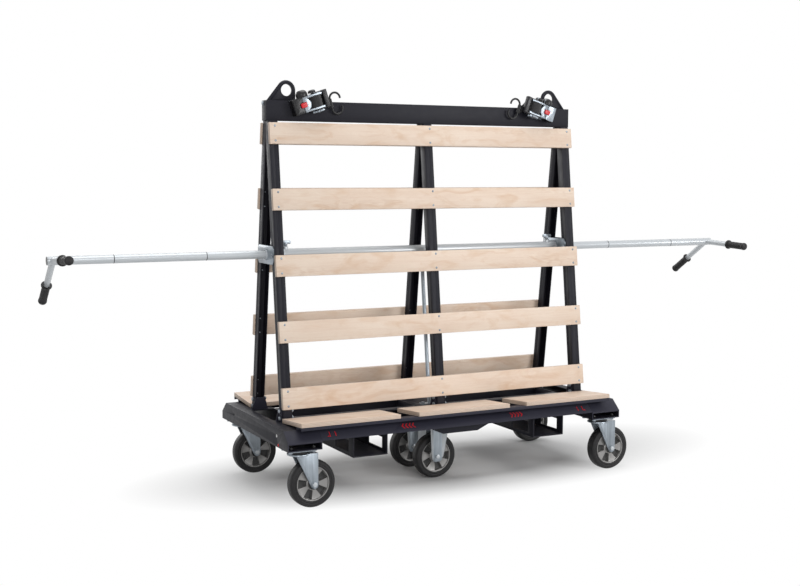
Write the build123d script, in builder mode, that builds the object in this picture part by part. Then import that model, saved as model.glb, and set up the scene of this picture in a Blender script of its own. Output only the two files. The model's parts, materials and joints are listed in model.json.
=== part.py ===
"""Plasterboard trolley: a steel chassis on six wheels, tilted plywood decks, a slatted A-frame back rest,
telescopic handle bars, two ratchet strap units and two lifting eyes.

Millimetres, +Z up, +X along the trolley, origin on the floor under the middle of the chassis.
"""

import os
from math import acos, atan, cos, degrees, hypot, radians, sin

from build123d import *

# Chassis
base_length = 1640
base_half_width = 390
base_bottom = 250
base_top = 328
chamfer_bottom = 284
chamfer_run = 50
sheet = 4
end_channel_width = 150
mid_half_length = 86
mid_half_width = 346
mid_flare = 150
mid_flare_height = 28
inner_beam_near = 80
inner_beam_far = 130
pocket_centre_x = 443
pocket_width = 160
pocket_bottom = 194
pocket_half_length = 370
pocket_sheet = 5
pocket_window = (130, 48)
pocket_window_centre = (260, 235)
end_opening = (98, 250, 12)
end_opening_x = 725
sight_hole_radius = 5
sight_holes = [(-285, 260), (-269, 296), (234, 292)]

# Deck
deck_length = 1525
deck_board = (450, 205, 18)
deck_board_centres = [-537.5, 0, 537.5]
deck_inner = 188
deck_outer = 392
deck_rise = 17
rail_flange_reach = 386
rail_lip_bottom = 331

# A-frame back rest
lean = 0.12
post_foot_offset = 221.66
post_size = 40
post_wall = 3
post_centres = [-735, 0, 735]
slat = (1520, 90, 18)
slat_tops = [1570, 1295, 1020, 745, 470]
slat_edge = 2
slat_screw_spread = 62
screw_radius = 2.5
screw_head = (5, 2.5)
screw_length = 27
beam_half_length = 762
beam_half_width = 26
beam_bottom = 1580
beam_top = 1664
foot_gap = 0.3
foot_sheet = 4
foot_top = 380
foot_depth_start = 8
foot_bolt_heights = [342, 372]
foot_flare = [(45, 310), (18, 400)]
bolt_depth = 22

# Lifting eyes
eye_centre = (-663, 1709)
eye_hole_radius = 25
eye_bar_radius = 8
eye_bend_radius = 33.5
eye_plate = 12
eye_foot_x = -748

# Handles
handle_height = 1018
sleeve_outer = 22.7
sleeve_bore = 19.5
sleeve_half_length = 765
tube_radius = 17.5
tube_bore = 14.5
tube_outer_end = 1670
tube_inner_end = 600
arm_joint = 1646
arm_radius = 12.5
arm_bore = 10
arm_length = 285
front_arm_angle = 1
rear_arm_angle = -37
handle_turns = {"left": 3, "right": -3}
grip_length = 120
grip_radius = 16.5
grip_collar = (22, 8)
grip_bead = (18, 10)
stop_ring_length = 30
stop_collar = (18.5, 4)
slide_clearance = 0.05
guide_plate = (180, 78, 4)
guide_corner = 14
guide_bolt_offset = 79
clamp_x = 668
clamp_boss = (11, 32)
clamp_screw_radius = 5
clamp_tip_gap = 0.4
clamp_hub = (8, 34, 16)
wing = (46, 6, 15)
stay_x = -6
stay_radius = 8.5
stay_top_y = 6
stay_foot_y = -80
stay_foot = (90, 40, 5)
stay_bolt_spread = 64

# Castors and wheels
corner_pivot = (748, 325)
mid_pivot_y = 113
trail = 56
wheel_radius = 100
tyre_width = 50
tyre_shoulder = 12
rim_radius = 72
rim_ring = 64
rim_width = 44
rim_web = 10
hub_radius = 23
hub_width = 58
window_count = 5
window_width = (27, 38)
window_turns = {
    "front_left": 33,
    "rear_left": 55,
    "front_right": 35,
    "rear_right": 12,
    "front_mid": 69,
    "rear_mid": 48,
}
axle_radius = 6
running_gap = 0.05
fork_inner = 31
fork_sheet = 6
fork_top = 230
fork_web = 8
fork_nose = 30
fork_neck = (8, 44)
fork_tail = 74
crown_radius = 48
mid_cheek_half = 23
mid_cheek_low = [(23, 86), (15, 76)]
mid_flange = (32, 7)
axle_boss = 18
castor_plate = (125, 105, 6)
race = (42, 12)
king_pin = 9
king_nut = (14, 6)
castor_bolt_spread = (100, 76)

# Bolts
bolt_radius = 5
bolt_hole = 5.3
bolt_head = (9.2, 6.4)
bolt_nut = (9.2, 8)

# Strap units
strap_centre = (-580, 1654)
strap_tilt = 18
strap_base = (-76, 66, 33, 4)
strap_plate_v = 30
strap_plate = 4
strap_lip = (60, 46, 24.5)
spool_u = 30
spool_w = 34
spindle_radius = 7
spindle_reach = 39
ratchet_wheel = (26, 20.5, 38.5, 46, 12)
tongue = (-25, 27)
band = 2.4
band_pitch = 3.4
band_first_radius = 10
band_turns = 5
band_half_width = 24
tail_u = 66
eye_half_width = 18
eye_v = -28
eye_u = 102
eye_radius = 6.4
eye_arc = 290
eye_start_u = 92
cover = (-76, -34, 33, 44)
cover_wall = 2.5
spring_cap = (-25, 31, 25, 30, 18)
axle_cap = (22, 33, 17, 12, 9)
button = (28, 20, 6)
button_u = -32
button_travel = 4
button_gap = 0.3
button_face = 50
button_flange = (2, 4)
lever_grip = (64, 87, 37.5, 20, 46)
lever_arm = (33, 37)
lever_boss = 14
hook_wire = 4.5
hook_v = -36
hook_half_straight = 22
hook_arch = 24
hook_tip = 6

lean_angle = degrees(atan(lean))
deck_tilt = atan(deck_rise / (deck_outer - deck_inner))
chamfer_slope = (base_top - chamfer_bottom) / chamfer_run

os.makedirs("parts", exist_ok=True)


def save(piece, name):
    """Name one finished piece and write it."""
    piece.part.label = name
    export_step(piece.part, f"parts/{name}.step")


def sheet_section(points, thickness):
    """Closed outline of a folded sheet: the given line and its mitred copy on the left side."""
    normals = []
    for (x0, y0), (x1, y1) in zip(points, points[1:]):
        length = hypot(x1 - x0, y1 - y0)
        normals.append(((y0 - y1) / length, (x1 - x0) / length))
    copy = []
    for index, (x, y) in enumerate(points):
        before = normals[max(index - 1, 0)]
        after = normals[min(index, len(normals) - 1)]
        scale = thickness / (1 + before[0] * after[0] + before[1] * after[1])
        copy.append((x + (before[0] + after[0]) * scale, y + (before[1] + after[1]) * scale))
    return points + copy[::-1]


def chamfer_height(distance, inset):
    """Height of the side chamfer at a distance from the middle plane, set in from the outer face."""
    return chamfer_bottom + chamfer_slope * (base_half_width - distance) - inset * hypot(1, chamfer_slope)


def chamfer_distance(height, inset):
    """Distance from the middle plane at which the side chamfer has a height."""
    return base_half_width - (height - chamfer_bottom + inset * hypot(1, chamfer_slope)) / chamfer_slope


def mirrored(points):
    """A right-hand outline run, with its copy on the other side of the middle plane."""
    return points + [(-y, z) for y, z in points[::-1]]


def rest_plane(side):
    """Leaning plane on the outer face of the posts: local Y runs up the slope, normal outwards."""
    return Plane(origin=(0, side * post_foot_offset, 0), x_dir=(-side, 0, 0), z_dir=(0, side, lean))


def slope_length(height):
    """Distance up the leaning plane for a height above the floor."""
    return height / cos(radians(lean_angle))


def post_point(side, height, depth):
    """Y of a point inside a post, at a height and a depth behind its outer face."""
    return side * (post_foot_offset - lean * height - depth * hypot(1, lean))


def slat_screw_points():
    """Screw places on the leaning plane: two on every crossing of a slat and a post."""
    points = []
    for top in slat_tops:
        middle = slope_length(top) - slat[1] / 2
        for x in post_centres:
            points += [(x, middle - slat_screw_spread / 2), (x, middle + slat_screw_spread / 2)]
    return points


def castor_bolt_points(x, y):
    """Bolt places around one castor."""
    dx, dy = castor_bolt_spread[0] / 2, castor_bolt_spread[1] / 2
    return [(x + i * dx, y + j * dy) for i in (-1, 1) for j in (-1, 1)]


corner_pivots = {
    "front_left": (-corner_pivot[0], -corner_pivot[1]),
    "rear_left": (-corner_pivot[0], corner_pivot[1]),
    "front_right": (corner_pivot[0], -corner_pivot[1]),
    "rear_right": (corner_pivot[0], corner_pivot[1]),
}
mid_pivots = {"front_mid": (0, -mid_pivot_y), "rear_mid": (0, mid_pivot_y)}
corner_axles = {name: (x + trail, y) for name, (x, y) in corner_pivots.items()}
all_axles = {**corner_axles, **mid_pivots}
all_pivots = {**corner_pivots, **mid_pivots}


# End channels: folded sheet boxes across the trolley, open at both ends and on top in the middle
channel_outer = mirrored(
    [
        (base_half_width, base_bottom),
        (base_half_width, chamfer_bottom),
        (base_half_width - chamfer_run, base_top),
    ]
)
channel_reach = base_half_width + 1
channel_inner = mirrored(
    [
        (channel_reach, base_bottom + sheet),
        (channel_reach, chamfer_height(channel_reach, sheet)),
        (chamfer_distance(base_top - sheet, sheet), base_top - sheet),
    ]
)
for side, name in ((-1, "left_end_channel"), (1, "right_end_channel")):
    start = -base_length / 2 if side < 0 else base_length / 2 - end_channel_width
    outer_face = side * base_length / 2
    with BuildPart() as end_channel:
        with BuildSketch(Plane.YZ.offset(start)):
            Polygon(*channel_outer, align=None)
        extrude(amount=end_channel_width)
        with BuildSketch(Plane.YZ.offset(start + sheet)):
            Polygon(*channel_inner, align=None)
        extrude(amount=end_channel_width - 2 * sheet, mode=Mode.SUBTRACT)
        with BuildSketch(Plane.YZ.offset(outer_face)):
            with Locations(*sight_holes):
                Circle(sight_hole_radius)
        extrude(amount=sheet, both=True, mode=Mode.SUBTRACT)
        with BuildSketch(Plane.XY.offset(base_top)):
            with Locations((side * end_opening_x, 0)):
                RectangleRounded(*end_opening)
        extrude(amount=-sheet, mode=Mode.SUBTRACT)
        with BuildSketch(Plane.XY.offset(base_bottom)):
            for y in (-corner_pivot[1], corner_pivot[1]):
                with Locations(*castor_bolt_points(side * corner_pivot[0], y)):
                    Circle(bolt_hole)
        extrude(amount=sheet, mode=Mode.SUBTRACT)
    save(end_channel, name)

# Middle cross member: a box under the middle frame, with flared end plates under the side rails
mid_outer = mirrored(
    [
        (mid_half_width, base_bottom),
        (mid_half_width, chamfer_height(mid_half_width, sheet)),
        (chamfer_distance(base_top, sheet), base_top),
    ]
)
mid_plate = mirrored(
    [
        (mid_half_length, base_bottom),
        (mid_flare, base_bottom + mid_flare_height),
        (mid_flare, chamfer_bottom),
    ]
)
with BuildPart() as mid_cross_member:
    with BuildSketch(Plane.YZ.offset(-mid_half_length)):
        Polygon(*mid_outer, align=None)
    extrude(amount=2 * mid_half_length)
    with Locations((0, 0, (base_bottom + base_top) / 2)):
        Box(
            2 * (mid_half_length - sheet),
            2 * chamfer_distance(base_top, 3 * sheet),
            base_top - base_bottom - 2 * sheet,
            mode=Mode.SUBTRACT,
        )
    for plate_start in (-mid_half_width, mid_half_width + sheet):
        with BuildSketch(Plane.XZ.offset(-plate_start)):
            Polygon(*mid_plate, align=None)
        extrude(amount=sheet)
    with BuildSketch(Plane.XY.offset(base_bottom)):
        for x, y in mid_pivots.values():
            with Locations(*castor_bolt_points(x, y)):
                Circle(bolt_hole)
    extrude(amount=sheet, mode=Mode.SUBTRACT)
    with BuildSketch(Plane.XY.offset(base_top)):
        with Locations((stay_x, stay_foot_y)):
            with GridLocations(stay_bolt_spread, 1, 2, 1):
                Circle(bolt_hole)
    extrude(amount=-sheet, mode=Mode.SUBTRACT)
save(mid_cross_member, "mid_cross_member")

# Side rails: sloped web between the end channels, with a tilted flange and lip over the full deck length
flange_base = base_top + (base_half_width - chamfer_run - deck_inner) * deck_rise / (deck_outer - deck_inner)
flange_end = base_top + (rail_flange_reach - deck_inner) * deck_rise / (deck_outer - deck_inner)
flange_drop = sheet / cos(deck_tilt)
rail_top_line = [
    (base_half_width - chamfer_run, base_top),
    (base_half_width - chamfer_run, flange_base - flange_drop),
    (rail_flange_reach, flange_end - flange_drop),
    (rail_flange_reach, rail_lip_bottom),
]
rail_web_line = [(mid_half_width, chamfer_bottom), (base_half_width, chamfer_bottom)] + rail_top_line[:2]
rail_half_length = base_length / 2 - end_channel_width
with BuildPart() as side_rails:
    with BuildSketch(Plane.YZ.offset(-deck_length / 2)):
        Polygon(*sheet_section(rail_top_line, sheet), align=None)
    extrude(amount=deck_length)
    with BuildSketch(Plane.YZ.offset(-rail_half_length)):
        Polygon(*sheet_section(rail_web_line, sheet), align=None)
    extrude(amount=2 * rail_half_length)
    mirror(about=Plane.XZ)
save(side_rails, "side_rails")

# Inner beams: four lengths of channel beside the A-frame, between the cross members
beam_line = [
    (inner_beam_far, chamfer_bottom),
    (inner_beam_near, chamfer_bottom),
    (inner_beam_near, base_top),
    (inner_beam_far, base_top),
]
with BuildPart() as inner_beams:
    with BuildSketch(Plane.YZ.offset(mid_half_length)):
        Polygon(*sheet_section(beam_line[::-1], sheet), align=None)
    extrude(amount=rail_half_length - mid_half_length)
    mirror(about=Plane.YZ)
    mirror(about=Plane.XZ)
save(inner_beams, "inner_beams")

# Fork pockets: open-topped troughs across the trolley whose walls rise to carry the deck boards
pocket_line = [
    (-pocket_width / 2, chamfer_bottom),
    (-pocket_width / 2, pocket_bottom),
    (pocket_width / 2, pocket_bottom),
    (pocket_width / 2, chamfer_bottom),
]
bearer_end = chamfer_distance(base_top, sheet) - 1
bearer_length = bearer_end - inner_beam_far - 1
with BuildPart() as fork_pockets:
    with BuildSketch(Plane.XZ.offset(-pocket_half_length)):
        with Locations((pocket_centre_x, 0)):
            Polygon(*sheet_section(pocket_line, pocket_sheet), align=None)
    extrude(amount=2 * pocket_half_length)
    for side in (-1, 1):
        for wall in (-1, 1):
            wall_x = pocket_centre_x + wall * (pocket_width - pocket_sheet) / 2
            bearer_y = side * (bearer_end - bearer_length / 2)
            with Locations((wall_x, bearer_y, (chamfer_bottom + base_top) / 2)):
                Box(pocket_sheet, bearer_length, base_top - chamfer_bottom)
        with Locations((pocket_centre_x, side * pocket_window_centre[0], pocket_window_centre[1])):
            Box(2 * pocket_width, *pocket_window, mode=Mode.SUBTRACT)
    mirror(about=Plane.YZ)
save(fork_pockets, "fork_pockets")

# Deck boards: three on each side, tilted down towards the back rest
with BuildPart() as deck_boards:
    for side in (-1, 1):
        board_plane = Plane(
            origin=(0, side * deck_inner, base_top),
            x_dir=(side, 0, 0),
            z_dir=(0, -side * sin(deck_tilt), cos(deck_tilt)),
        )
        with BuildSketch(board_plane):
            with Locations(*[(x, deck_board[1] / 2) for x in deck_board_centres]):
                RectangleRounded(deck_board[0], deck_board[1], 4)
        extrude(amount=deck_board[2])
save(deck_boards, "deck_boards")

# Posts: U channels with their webs outwards, mitred against each other under the top beam
foot_bolt_places = [(height, bolt_depth) for height in foot_bolt_heights]
for side, name in ((-1, "front_posts"), (1, "rear_posts")):
    section_plane = Plane(
        origin=(0, side * post_foot_offset, 0), x_dir=(-side, 0, 0), z_dir=(0, -side * lean, 1)
    )
    with BuildPart() as posts:
        with BuildSketch(section_plane.offset(base_top - post_size)):
            with Locations(*[(x, 0) for x in post_centres]):
                Rectangle(post_size, post_size, align=(Align.CENTER, Align.MIN))
            with Locations(*[(x, post_wall) for x in post_centres]):
                Rectangle(
                    post_size - 2 * post_wall,
                    post_size,
                    align=(Align.CENTER, Align.MIN),
                    mode=Mode.SUBTRACT,
                )
        extrude(amount=beam_top - base_top)
        split(bisect_by=Plane.XY.offset(base_top), keep=Keep.TOP)
        split(bisect_by=Plane.XY.offset(beam_bottom), keep=Keep.BOTTOM)
        middle = Plane(origin=(0, side * foot_gap, 0), z_dir=(0, side, 0))
        split(bisect_by=middle, keep=Keep.TOP)
        with BuildSketch(rest_plane(side)):
            with Locations(*slat_screw_points()):
                Circle(screw_radius + running_gap)
        extrude(amount=-2 * post_wall, mode=Mode.SUBTRACT)
        with BuildSketch(Plane.YZ.offset(-base_length / 2)):
            for height, depth in foot_bolt_places:
                with Locations((post_point(side, height, depth), height)):
                    Circle(bolt_hole)
        extrude(amount=base_length, mode=Mode.SUBTRACT)
        for x in (post_centres[0], post_centres[-1]):
            with BuildSketch(Plane.YZ.offset(x)):
                with Locations((side * guide_bolt_offset, handle_height)):
                    Circle(bolt_hole)
            extrude(amount=post_size, both=True, mode=Mode.SUBTRACT)
    save(posts, name)

# Foot brackets: a folded shoe round the inner side of every post foot, with a web that widens downwards
shoe_half = post_size / 2 + foot_gap
shoe_line = [
    (shoe_half, foot_depth_start),
    (shoe_half, post_size + foot_gap),
    (-shoe_half, post_size + foot_gap),
    (-shoe_half, foot_depth_start),
]
with BuildPart() as foot_brackets:
    for side in (-1, 1):
        shoe_plane = Plane(
            origin=(0, side * post_foot_offset, 0), x_dir=(-side, 0, 0), z_dir=(0, -side * lean, 1)
        )
        with BuildSketch(shoe_plane.offset(base_top - post_size)):
            with Locations(*[(x, 0) for x in post_centres]):
                Polygon(*sheet_section(shoe_line[::-1], foot_sheet), align=None)
        extrude(amount=2 * post_size + foot_top - base_top)
        with BuildSketch(rest_plane(side).offset(-post_size - foot_gap)):
            with Locations(*[(x, 0) for x in post_centres]):
                Polygon(*mirrored(foot_flare), align=None)
        extrude(amount=-foot_sheet)
    split(bisect_by=Plane.XY.offset(base_top), keep=Keep.TOP)
    split(bisect_by=Plane.XY.offset(foot_top), keep=Keep.BOTTOM)
    with BuildSketch(Plane.YZ.offset(-base_length / 2)):
        for side in (-1, 1):
            for height, depth in foot_bolt_places:
                with Locations((post_point(side, height, depth), height)):
                    Circle(bolt_hole)
    extrude(amount=base_length, mode=Mode.SUBTRACT)
save(foot_brackets, "foot_brackets")

# Slats: five boards on each side of the A-frame
for side, name in ((-1, "front_slats"), (1, "rear_slats")):
    with BuildPart() as slats:
        with BuildSketch(rest_plane(side)):
            with Locations(*[(0, slope_length(top) - slat[1] / 2) for top in slat_tops]):
                Rectangle(slat[0], slat[1])
        extrude(amount=slat[2])
        chamfer(slats.edges().filter_by(Axis.X), slat_edge)
        with BuildSketch(rest_plane(side)):
            with Locations(*slat_screw_points()):
                Circle(screw_radius + running_gap)
        extrude(amount=slat[2], mode=Mode.SUBTRACT)
    save(slats, name)

# Slat screws: pan heads on the slats, shanks through the post webs
with BuildPart() as slat_screws:
    for side in (-1, 1):
        head_plane = rest_plane(side).offset(slat[2])
        with BuildSketch(head_plane):
            with Locations(*slat_screw_points()):
                Circle(screw_head[0])
        extrude(amount=screw_head[1])
        with BuildSketch(head_plane):
            with Locations(*slat_screw_points()):
                Circle(screw_radius)
        extrude(amount=-screw_length)
save(slat_screws, "slat_screws")

# Top beam: an inverted channel with closed ends
with BuildPart() as top_beam:
    with Locations((0, 0, (beam_bottom + beam_top) / 2)):
        Box(2 * beam_half_length, 2 * beam_half_width, beam_top - beam_bottom)
    with Locations((0, 0, beam_bottom)):
        Box(
            2 * (beam_half_length - sheet),
            2 * (beam_half_width - sheet),
            2 * (beam_top - beam_bottom - sheet),
            mode=Mode.SUBTRACT,
        )
save(top_beam, "top_beam")

# Lifting eyes: a round bar bent over a web plate, with a long stay towards the end of the beam
eye_x, eye_z = eye_centre
eye_foot_z = beam_top - eye_bar_radius
eye_back = eye_x + eye_bend_radius
foot_dx = eye_foot_x - eye_x
foot_dz = eye_foot_z - eye_z
foot_distance = hypot(foot_dx, foot_dz)
tangent_turn = degrees(atan(foot_dz / foot_dx)) + 180
touch_angle = tangent_turn - degrees(acos(eye_bend_radius / foot_distance))
touch = (
    eye_x + eye_bend_radius * cos(radians(touch_angle)),
    eye_z + eye_bend_radius * sin(radians(touch_angle)),
)
with BuildPart() as lifting_eyes:
    with BuildLine(Plane.XZ) as eye_path:
        Line((eye_foot_x, eye_foot_z), touch)
        CenterArc(eye_centre, eye_bend_radius, touch_angle, -touch_angle)
        Line((eye_back, eye_z), (eye_back, eye_foot_z))
    with BuildSketch(Plane(origin=eye_path.line @ 0, z_dir=eye_path.line % 0)):
        Circle(eye_bar_radius)
    sweep(path=eye_path.line)
    with BuildSketch(Plane.XZ):
        with BuildLine():
            Line((eye_foot_x, eye_foot_z), touch)
            CenterArc(eye_centre, eye_bend_radius, touch_angle, -touch_angle)
            Line((eye_back, eye_z), (eye_back, eye_foot_z))
            Line((eye_back, eye_foot_z), (eye_foot_x, eye_foot_z))
        make_face()
        with Locations(eye_centre):
            Circle(eye_hole_radius, mode=Mode.SUBTRACT)
    extrude(amount=eye_plate / 2, both=True)
    split(bisect_by=Plane.XY.offset(beam_top), keep=Keep.TOP)
    mirror(about=Plane.YZ)
save(lifting_eyes, "lifting_eyes")

# Handle sleeve: one long guide tube with a screw boss near each end
with BuildPart() as handle_sleeve:
    with BuildSketch(Plane.YZ.offset(-sleeve_half_length)):
        with Locations((0, handle_height)):
            Circle(sleeve_outer)
    extrude(amount=2 * sleeve_half_length)
    with BuildSketch(Plane.XY.offset(handle_height)):
        with GridLocations(2 * clamp_x, 1, 2, 1):
            Circle(clamp_boss[0])
    extrude(amount=clamp_boss[1])
    with BuildSketch(Plane.YZ.offset(-sleeve_half_length)):
        with Locations((0, handle_height)):
            Circle(sleeve_bore)
    extrude(amount=2 * sleeve_half_length, mode=Mode.SUBTRACT)
    with BuildSketch(Plane.XY.offset(handle_height)):
        with GridLocations(2 * clamp_x, 1, 2, 1):
            Circle(clamp_screw_radius + running_gap)
    extrude(amount=clamp_boss[1], mode=Mode.SUBTRACT)
save(handle_sleeve, "handle_sleeve")

# Guide plates: four plates on the end frames that hold the sleeve
frame_edge = post_centres[-1] + post_size / 2
frame_inner_edge = post_centres[-1] - post_size / 2
with BuildPart() as guide_plates:
    for start in (frame_edge, frame_inner_edge - guide_plate[2]):
        with BuildSketch(Plane.YZ.offset(start)):
            with Locations((0, handle_height)):
                Rectangle(guide_plate[0], guide_plate[1])
            chamfer(vertices(), guide_corner)
            with Locations((0, handle_height)):
                Circle(sleeve_outer + running_gap, mode=Mode.SUBTRACT)
            with Locations((-guide_bolt_offset, handle_height), (guide_bolt_offset, handle_height)):
                Circle(bolt_hole, mode=Mode.SUBTRACT)
        extrude(amount=guide_plate[2])
    mirror(about=Plane.YZ)
save(guide_plates, "guide_plates")

# Sleeve stay: a bar from the middle of the sleeve down to a foot on the middle cross member
stay_start = Vector(stay_x, stay_foot_y, base_top)
stay_end = Vector(stay_x, stay_top_y, handle_height)
with BuildPart() as sleeve_stay:
    with BuildSketch(Plane(origin=stay_start, z_dir=stay_end - stay_start)):
        Circle(stay_radius)
    extrude(amount=(stay_end - stay_start).length)
    split(bisect_by=Plane.XY.offset(base_top), keep=Keep.TOP)
    with BuildSketch(Plane.XY.offset(base_top)):
        with Locations((stay_x, stay_foot_y)):
            RectangleRounded(stay_foot[0], stay_foot[1], 6)
            with GridLocations(stay_bolt_spread, 1, 2, 1):
                Circle(bolt_hole, mode=Mode.SUBTRACT)
    extrude(amount=stay_foot[2])
    with BuildSketch(Plane.YZ.offset(stay_x)):
        with Locations((0, handle_height)):
            Circle(sleeve_outer)
    extrude(amount=2 * sleeve_outer, both=True, mode=Mode.SUBTRACT)
save(sleeve_stay, "sleeve_stay")


# Frame bolts: through bolts at the feet and guide plates, the stay foot and the castors
shoe_outer = shoe_half + foot_sheet
bolts = []
for x in post_centres:
    inward = -1 if x > 0 else 1
    for side in (-1, 1):
        for height, depth in foot_bolt_places:
            place = (x - inward * shoe_outer, post_point(side, height, depth), height)
            bolts.append((Plane(origin=place, z_dir=(inward, 0, 0)), 2 * shoe_outer))
for end in (-1, 1):
    for side in (-1, 1):
        place = (end * (frame_edge + guide_plate[2]), side * guide_bolt_offset, handle_height)
        bolts.append((Plane(origin=place, z_dir=(-end, 0, 0)), post_size + 2 * guide_plate[2]))
    place = (stay_x + end * stay_bolt_spread / 2, stay_foot_y, base_top + stay_foot[2])
    bolts.append((Plane(origin=place, z_dir=(0, 0, -1)), stay_foot[2] + sheet))
for x, y in all_pivots.values():
    for bolt_x, bolt_y in castor_bolt_points(x, y):
        place = (bolt_x, bolt_y, base_bottom - castor_plate[2])
        bolts.append((Plane(origin=place, z_dir=(0, 0, 1)), castor_plate[2] + sheet))
with BuildPart() as frame_bolts:
    for start, grip in bolts:
        with BuildSketch(start):
            RegularPolygon(bolt_head[0], 6)
        extrude(amount=-bolt_head[1])
        with BuildSketch(start):
            Circle(bolt_radius)
        extrude(amount=grip + bolt_nut[1] + 3)
        with BuildSketch(start.offset(grip)):
            RegularPolygon(bolt_nut[0], 6)
        extrude(amount=bolt_nut[1])
save(frame_bolts, "frame_bolts")

# Castor plates: top plates with a race and king pin on the four swivel castors
plate_bottom = base_bottom - castor_plate[2]
race_bottom = plate_bottom - race[1]
web_bottom = fork_top - fork_web
with BuildPart() as castor_plates:
    with BuildSketch(Plane.XY.offset(plate_bottom)):
        for x, y in all_pivots.values():
            with Locations((x, y)):
                RectangleRounded(castor_plate[0], castor_plate[1], 8)
            with Locations(*castor_bolt_points(x, y)):
                Circle(bolt_hole, mode=Mode.SUBTRACT)
    extrude(amount=castor_plate[2])
    with BuildSketch(Plane.XY.offset(race_bottom)):
        with Locations(*corner_pivots.values()):
            Circle(race[0])
    extrude(amount=race[1])
    with BuildSketch(Plane.XY.offset(web_bottom - 1)):
        with Locations(*corner_pivots.values()):
            Circle(king_pin)
    extrude(amount=race_bottom - web_bottom + 1)
    with BuildSketch(Plane.XY.offset(web_bottom - 1)):
        with Locations(*corner_pivots.values()):
            RegularPolygon(king_nut[0], 6)
    extrude(amount=-king_nut[1])
save(castor_plates, "castor_plates")


# Forks: pressed cheeks from a top web down to the axle, swivelling on the corners and fixed in the middle
fork_groups = {f"{name}_fork": [(x, y, x + trail, fork_top)] for name, (x, y) in corner_pivots.items()}
fork_groups["mid_forks"] = [(x, y, x, plate_bottom) for x, y in mid_pivots.values()]
boss_angle = -150
mid_cheek = mirrored([(mid_cheek_half, plate_bottom)] + mid_cheek_low)
flange_outline = [
    (-fork_sheet / 2, mid_cheek_low[0][1]),
    (mid_flange[1], wheel_radius),
    (mid_flange[0], plate_bottom),
    (-fork_sheet / 2, plate_bottom),
]
for name, group in fork_groups.items():
    with BuildPart() as forks:
        for x, y, axle_x, top in group:
            cheek_plane = Plane(origin=(x, y, 0), x_dir=(1, 0, 0), z_dir=(0, -1, 0))
            if top == fork_top:
                boss_end = (
                    trail + axle_boss * cos(radians(boss_angle)),
                    wheel_radius + axle_boss * sin(radians(boss_angle)),
                )
                neck_point = (-fork_neck[0], top - fork_neck[1])
                with BuildSketch(cheek_plane):
                    with BuildLine():
                        Line((-fork_nose, top), (fork_tail, top))
                        Line((fork_tail, top), (trail + axle_boss, wheel_radius))
                        CenterArc((trail, wheel_radius), axle_boss, 0, boss_angle)
                        Line(boss_end, neck_point)
                        Line(neck_point, (-fork_nose, top - 2 * fork_web))
                        Line((-fork_nose, top - 2 * fork_web), (-fork_nose, top))
                    make_face()
            else:
                with BuildSketch(cheek_plane):
                    Polygon(*mid_cheek, align=None)
            extrude(amount=fork_inner + fork_sheet, both=True)
            with Locations((axle_x, y, 0)):
                Box(4 * wheel_radius, 2 * fork_inner, 2 * (top - fork_web), mode=Mode.SUBTRACT)
            with BuildSketch(cheek_plane):
                with Locations((axle_x - x, wheel_radius)):
                    Circle(axle_radius + running_gap)
            extrude(amount=2 * fork_inner, both=True, mode=Mode.SUBTRACT)
            if top == fork_top:
                with BuildSketch(Plane.XY.offset(web_bottom)):
                    with Locations((x, y)):
                        Circle(crown_radius)
                extrude(amount=fork_web)
                with BuildSketch(Plane.XY.offset(web_bottom)):
                    with Locations((x, y)):
                        Circle(king_pin + running_gap)
                extrude(amount=fork_web, mode=Mode.SUBTRACT)
            else:
                for edge in (-1, 1):
                    for cheek in (-1, 1):
                        bend = (x + edge * mid_cheek_half, y + cheek * (fork_inner + fork_sheet / 2), 0)
                        with BuildSketch(Plane(origin=bend, x_dir=(edge, cheek, 0), z_dir=(cheek, -edge, 0))):
                            Polygon(*flange_outline, align=None)
                        extrude(amount=fork_sheet / 2, both=True)
    save(forks, name)

# Axles: bolts across the forks
axle_groups = {f"{name}_axle": [place] for name, place in corner_axles.items()}
axle_groups["mid_axles"] = list(mid_pivots.values())
fork_outside = fork_inner + fork_sheet
for name, group in axle_groups.items():
    with BuildPart() as axles:
        for x, y in group:
            start = Plane(origin=(x, y - fork_outside, wheel_radius), x_dir=(1, 0, 0), z_dir=(0, 1, 0))
            with BuildSketch(start):
                Circle(axle_radius)
            extrude(amount=2 * fork_outside + bolt_nut[1])
            with BuildSketch(start):
                RegularPolygon(bolt_head[0] + 1, 6)
            extrude(amount=-bolt_head[1])
            with BuildSketch(start.offset(2 * fork_outside)):
                RegularPolygon(bolt_nut[0] + 1, 6)
            extrude(amount=bolt_nut[1])
    save(axles, name)

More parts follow.
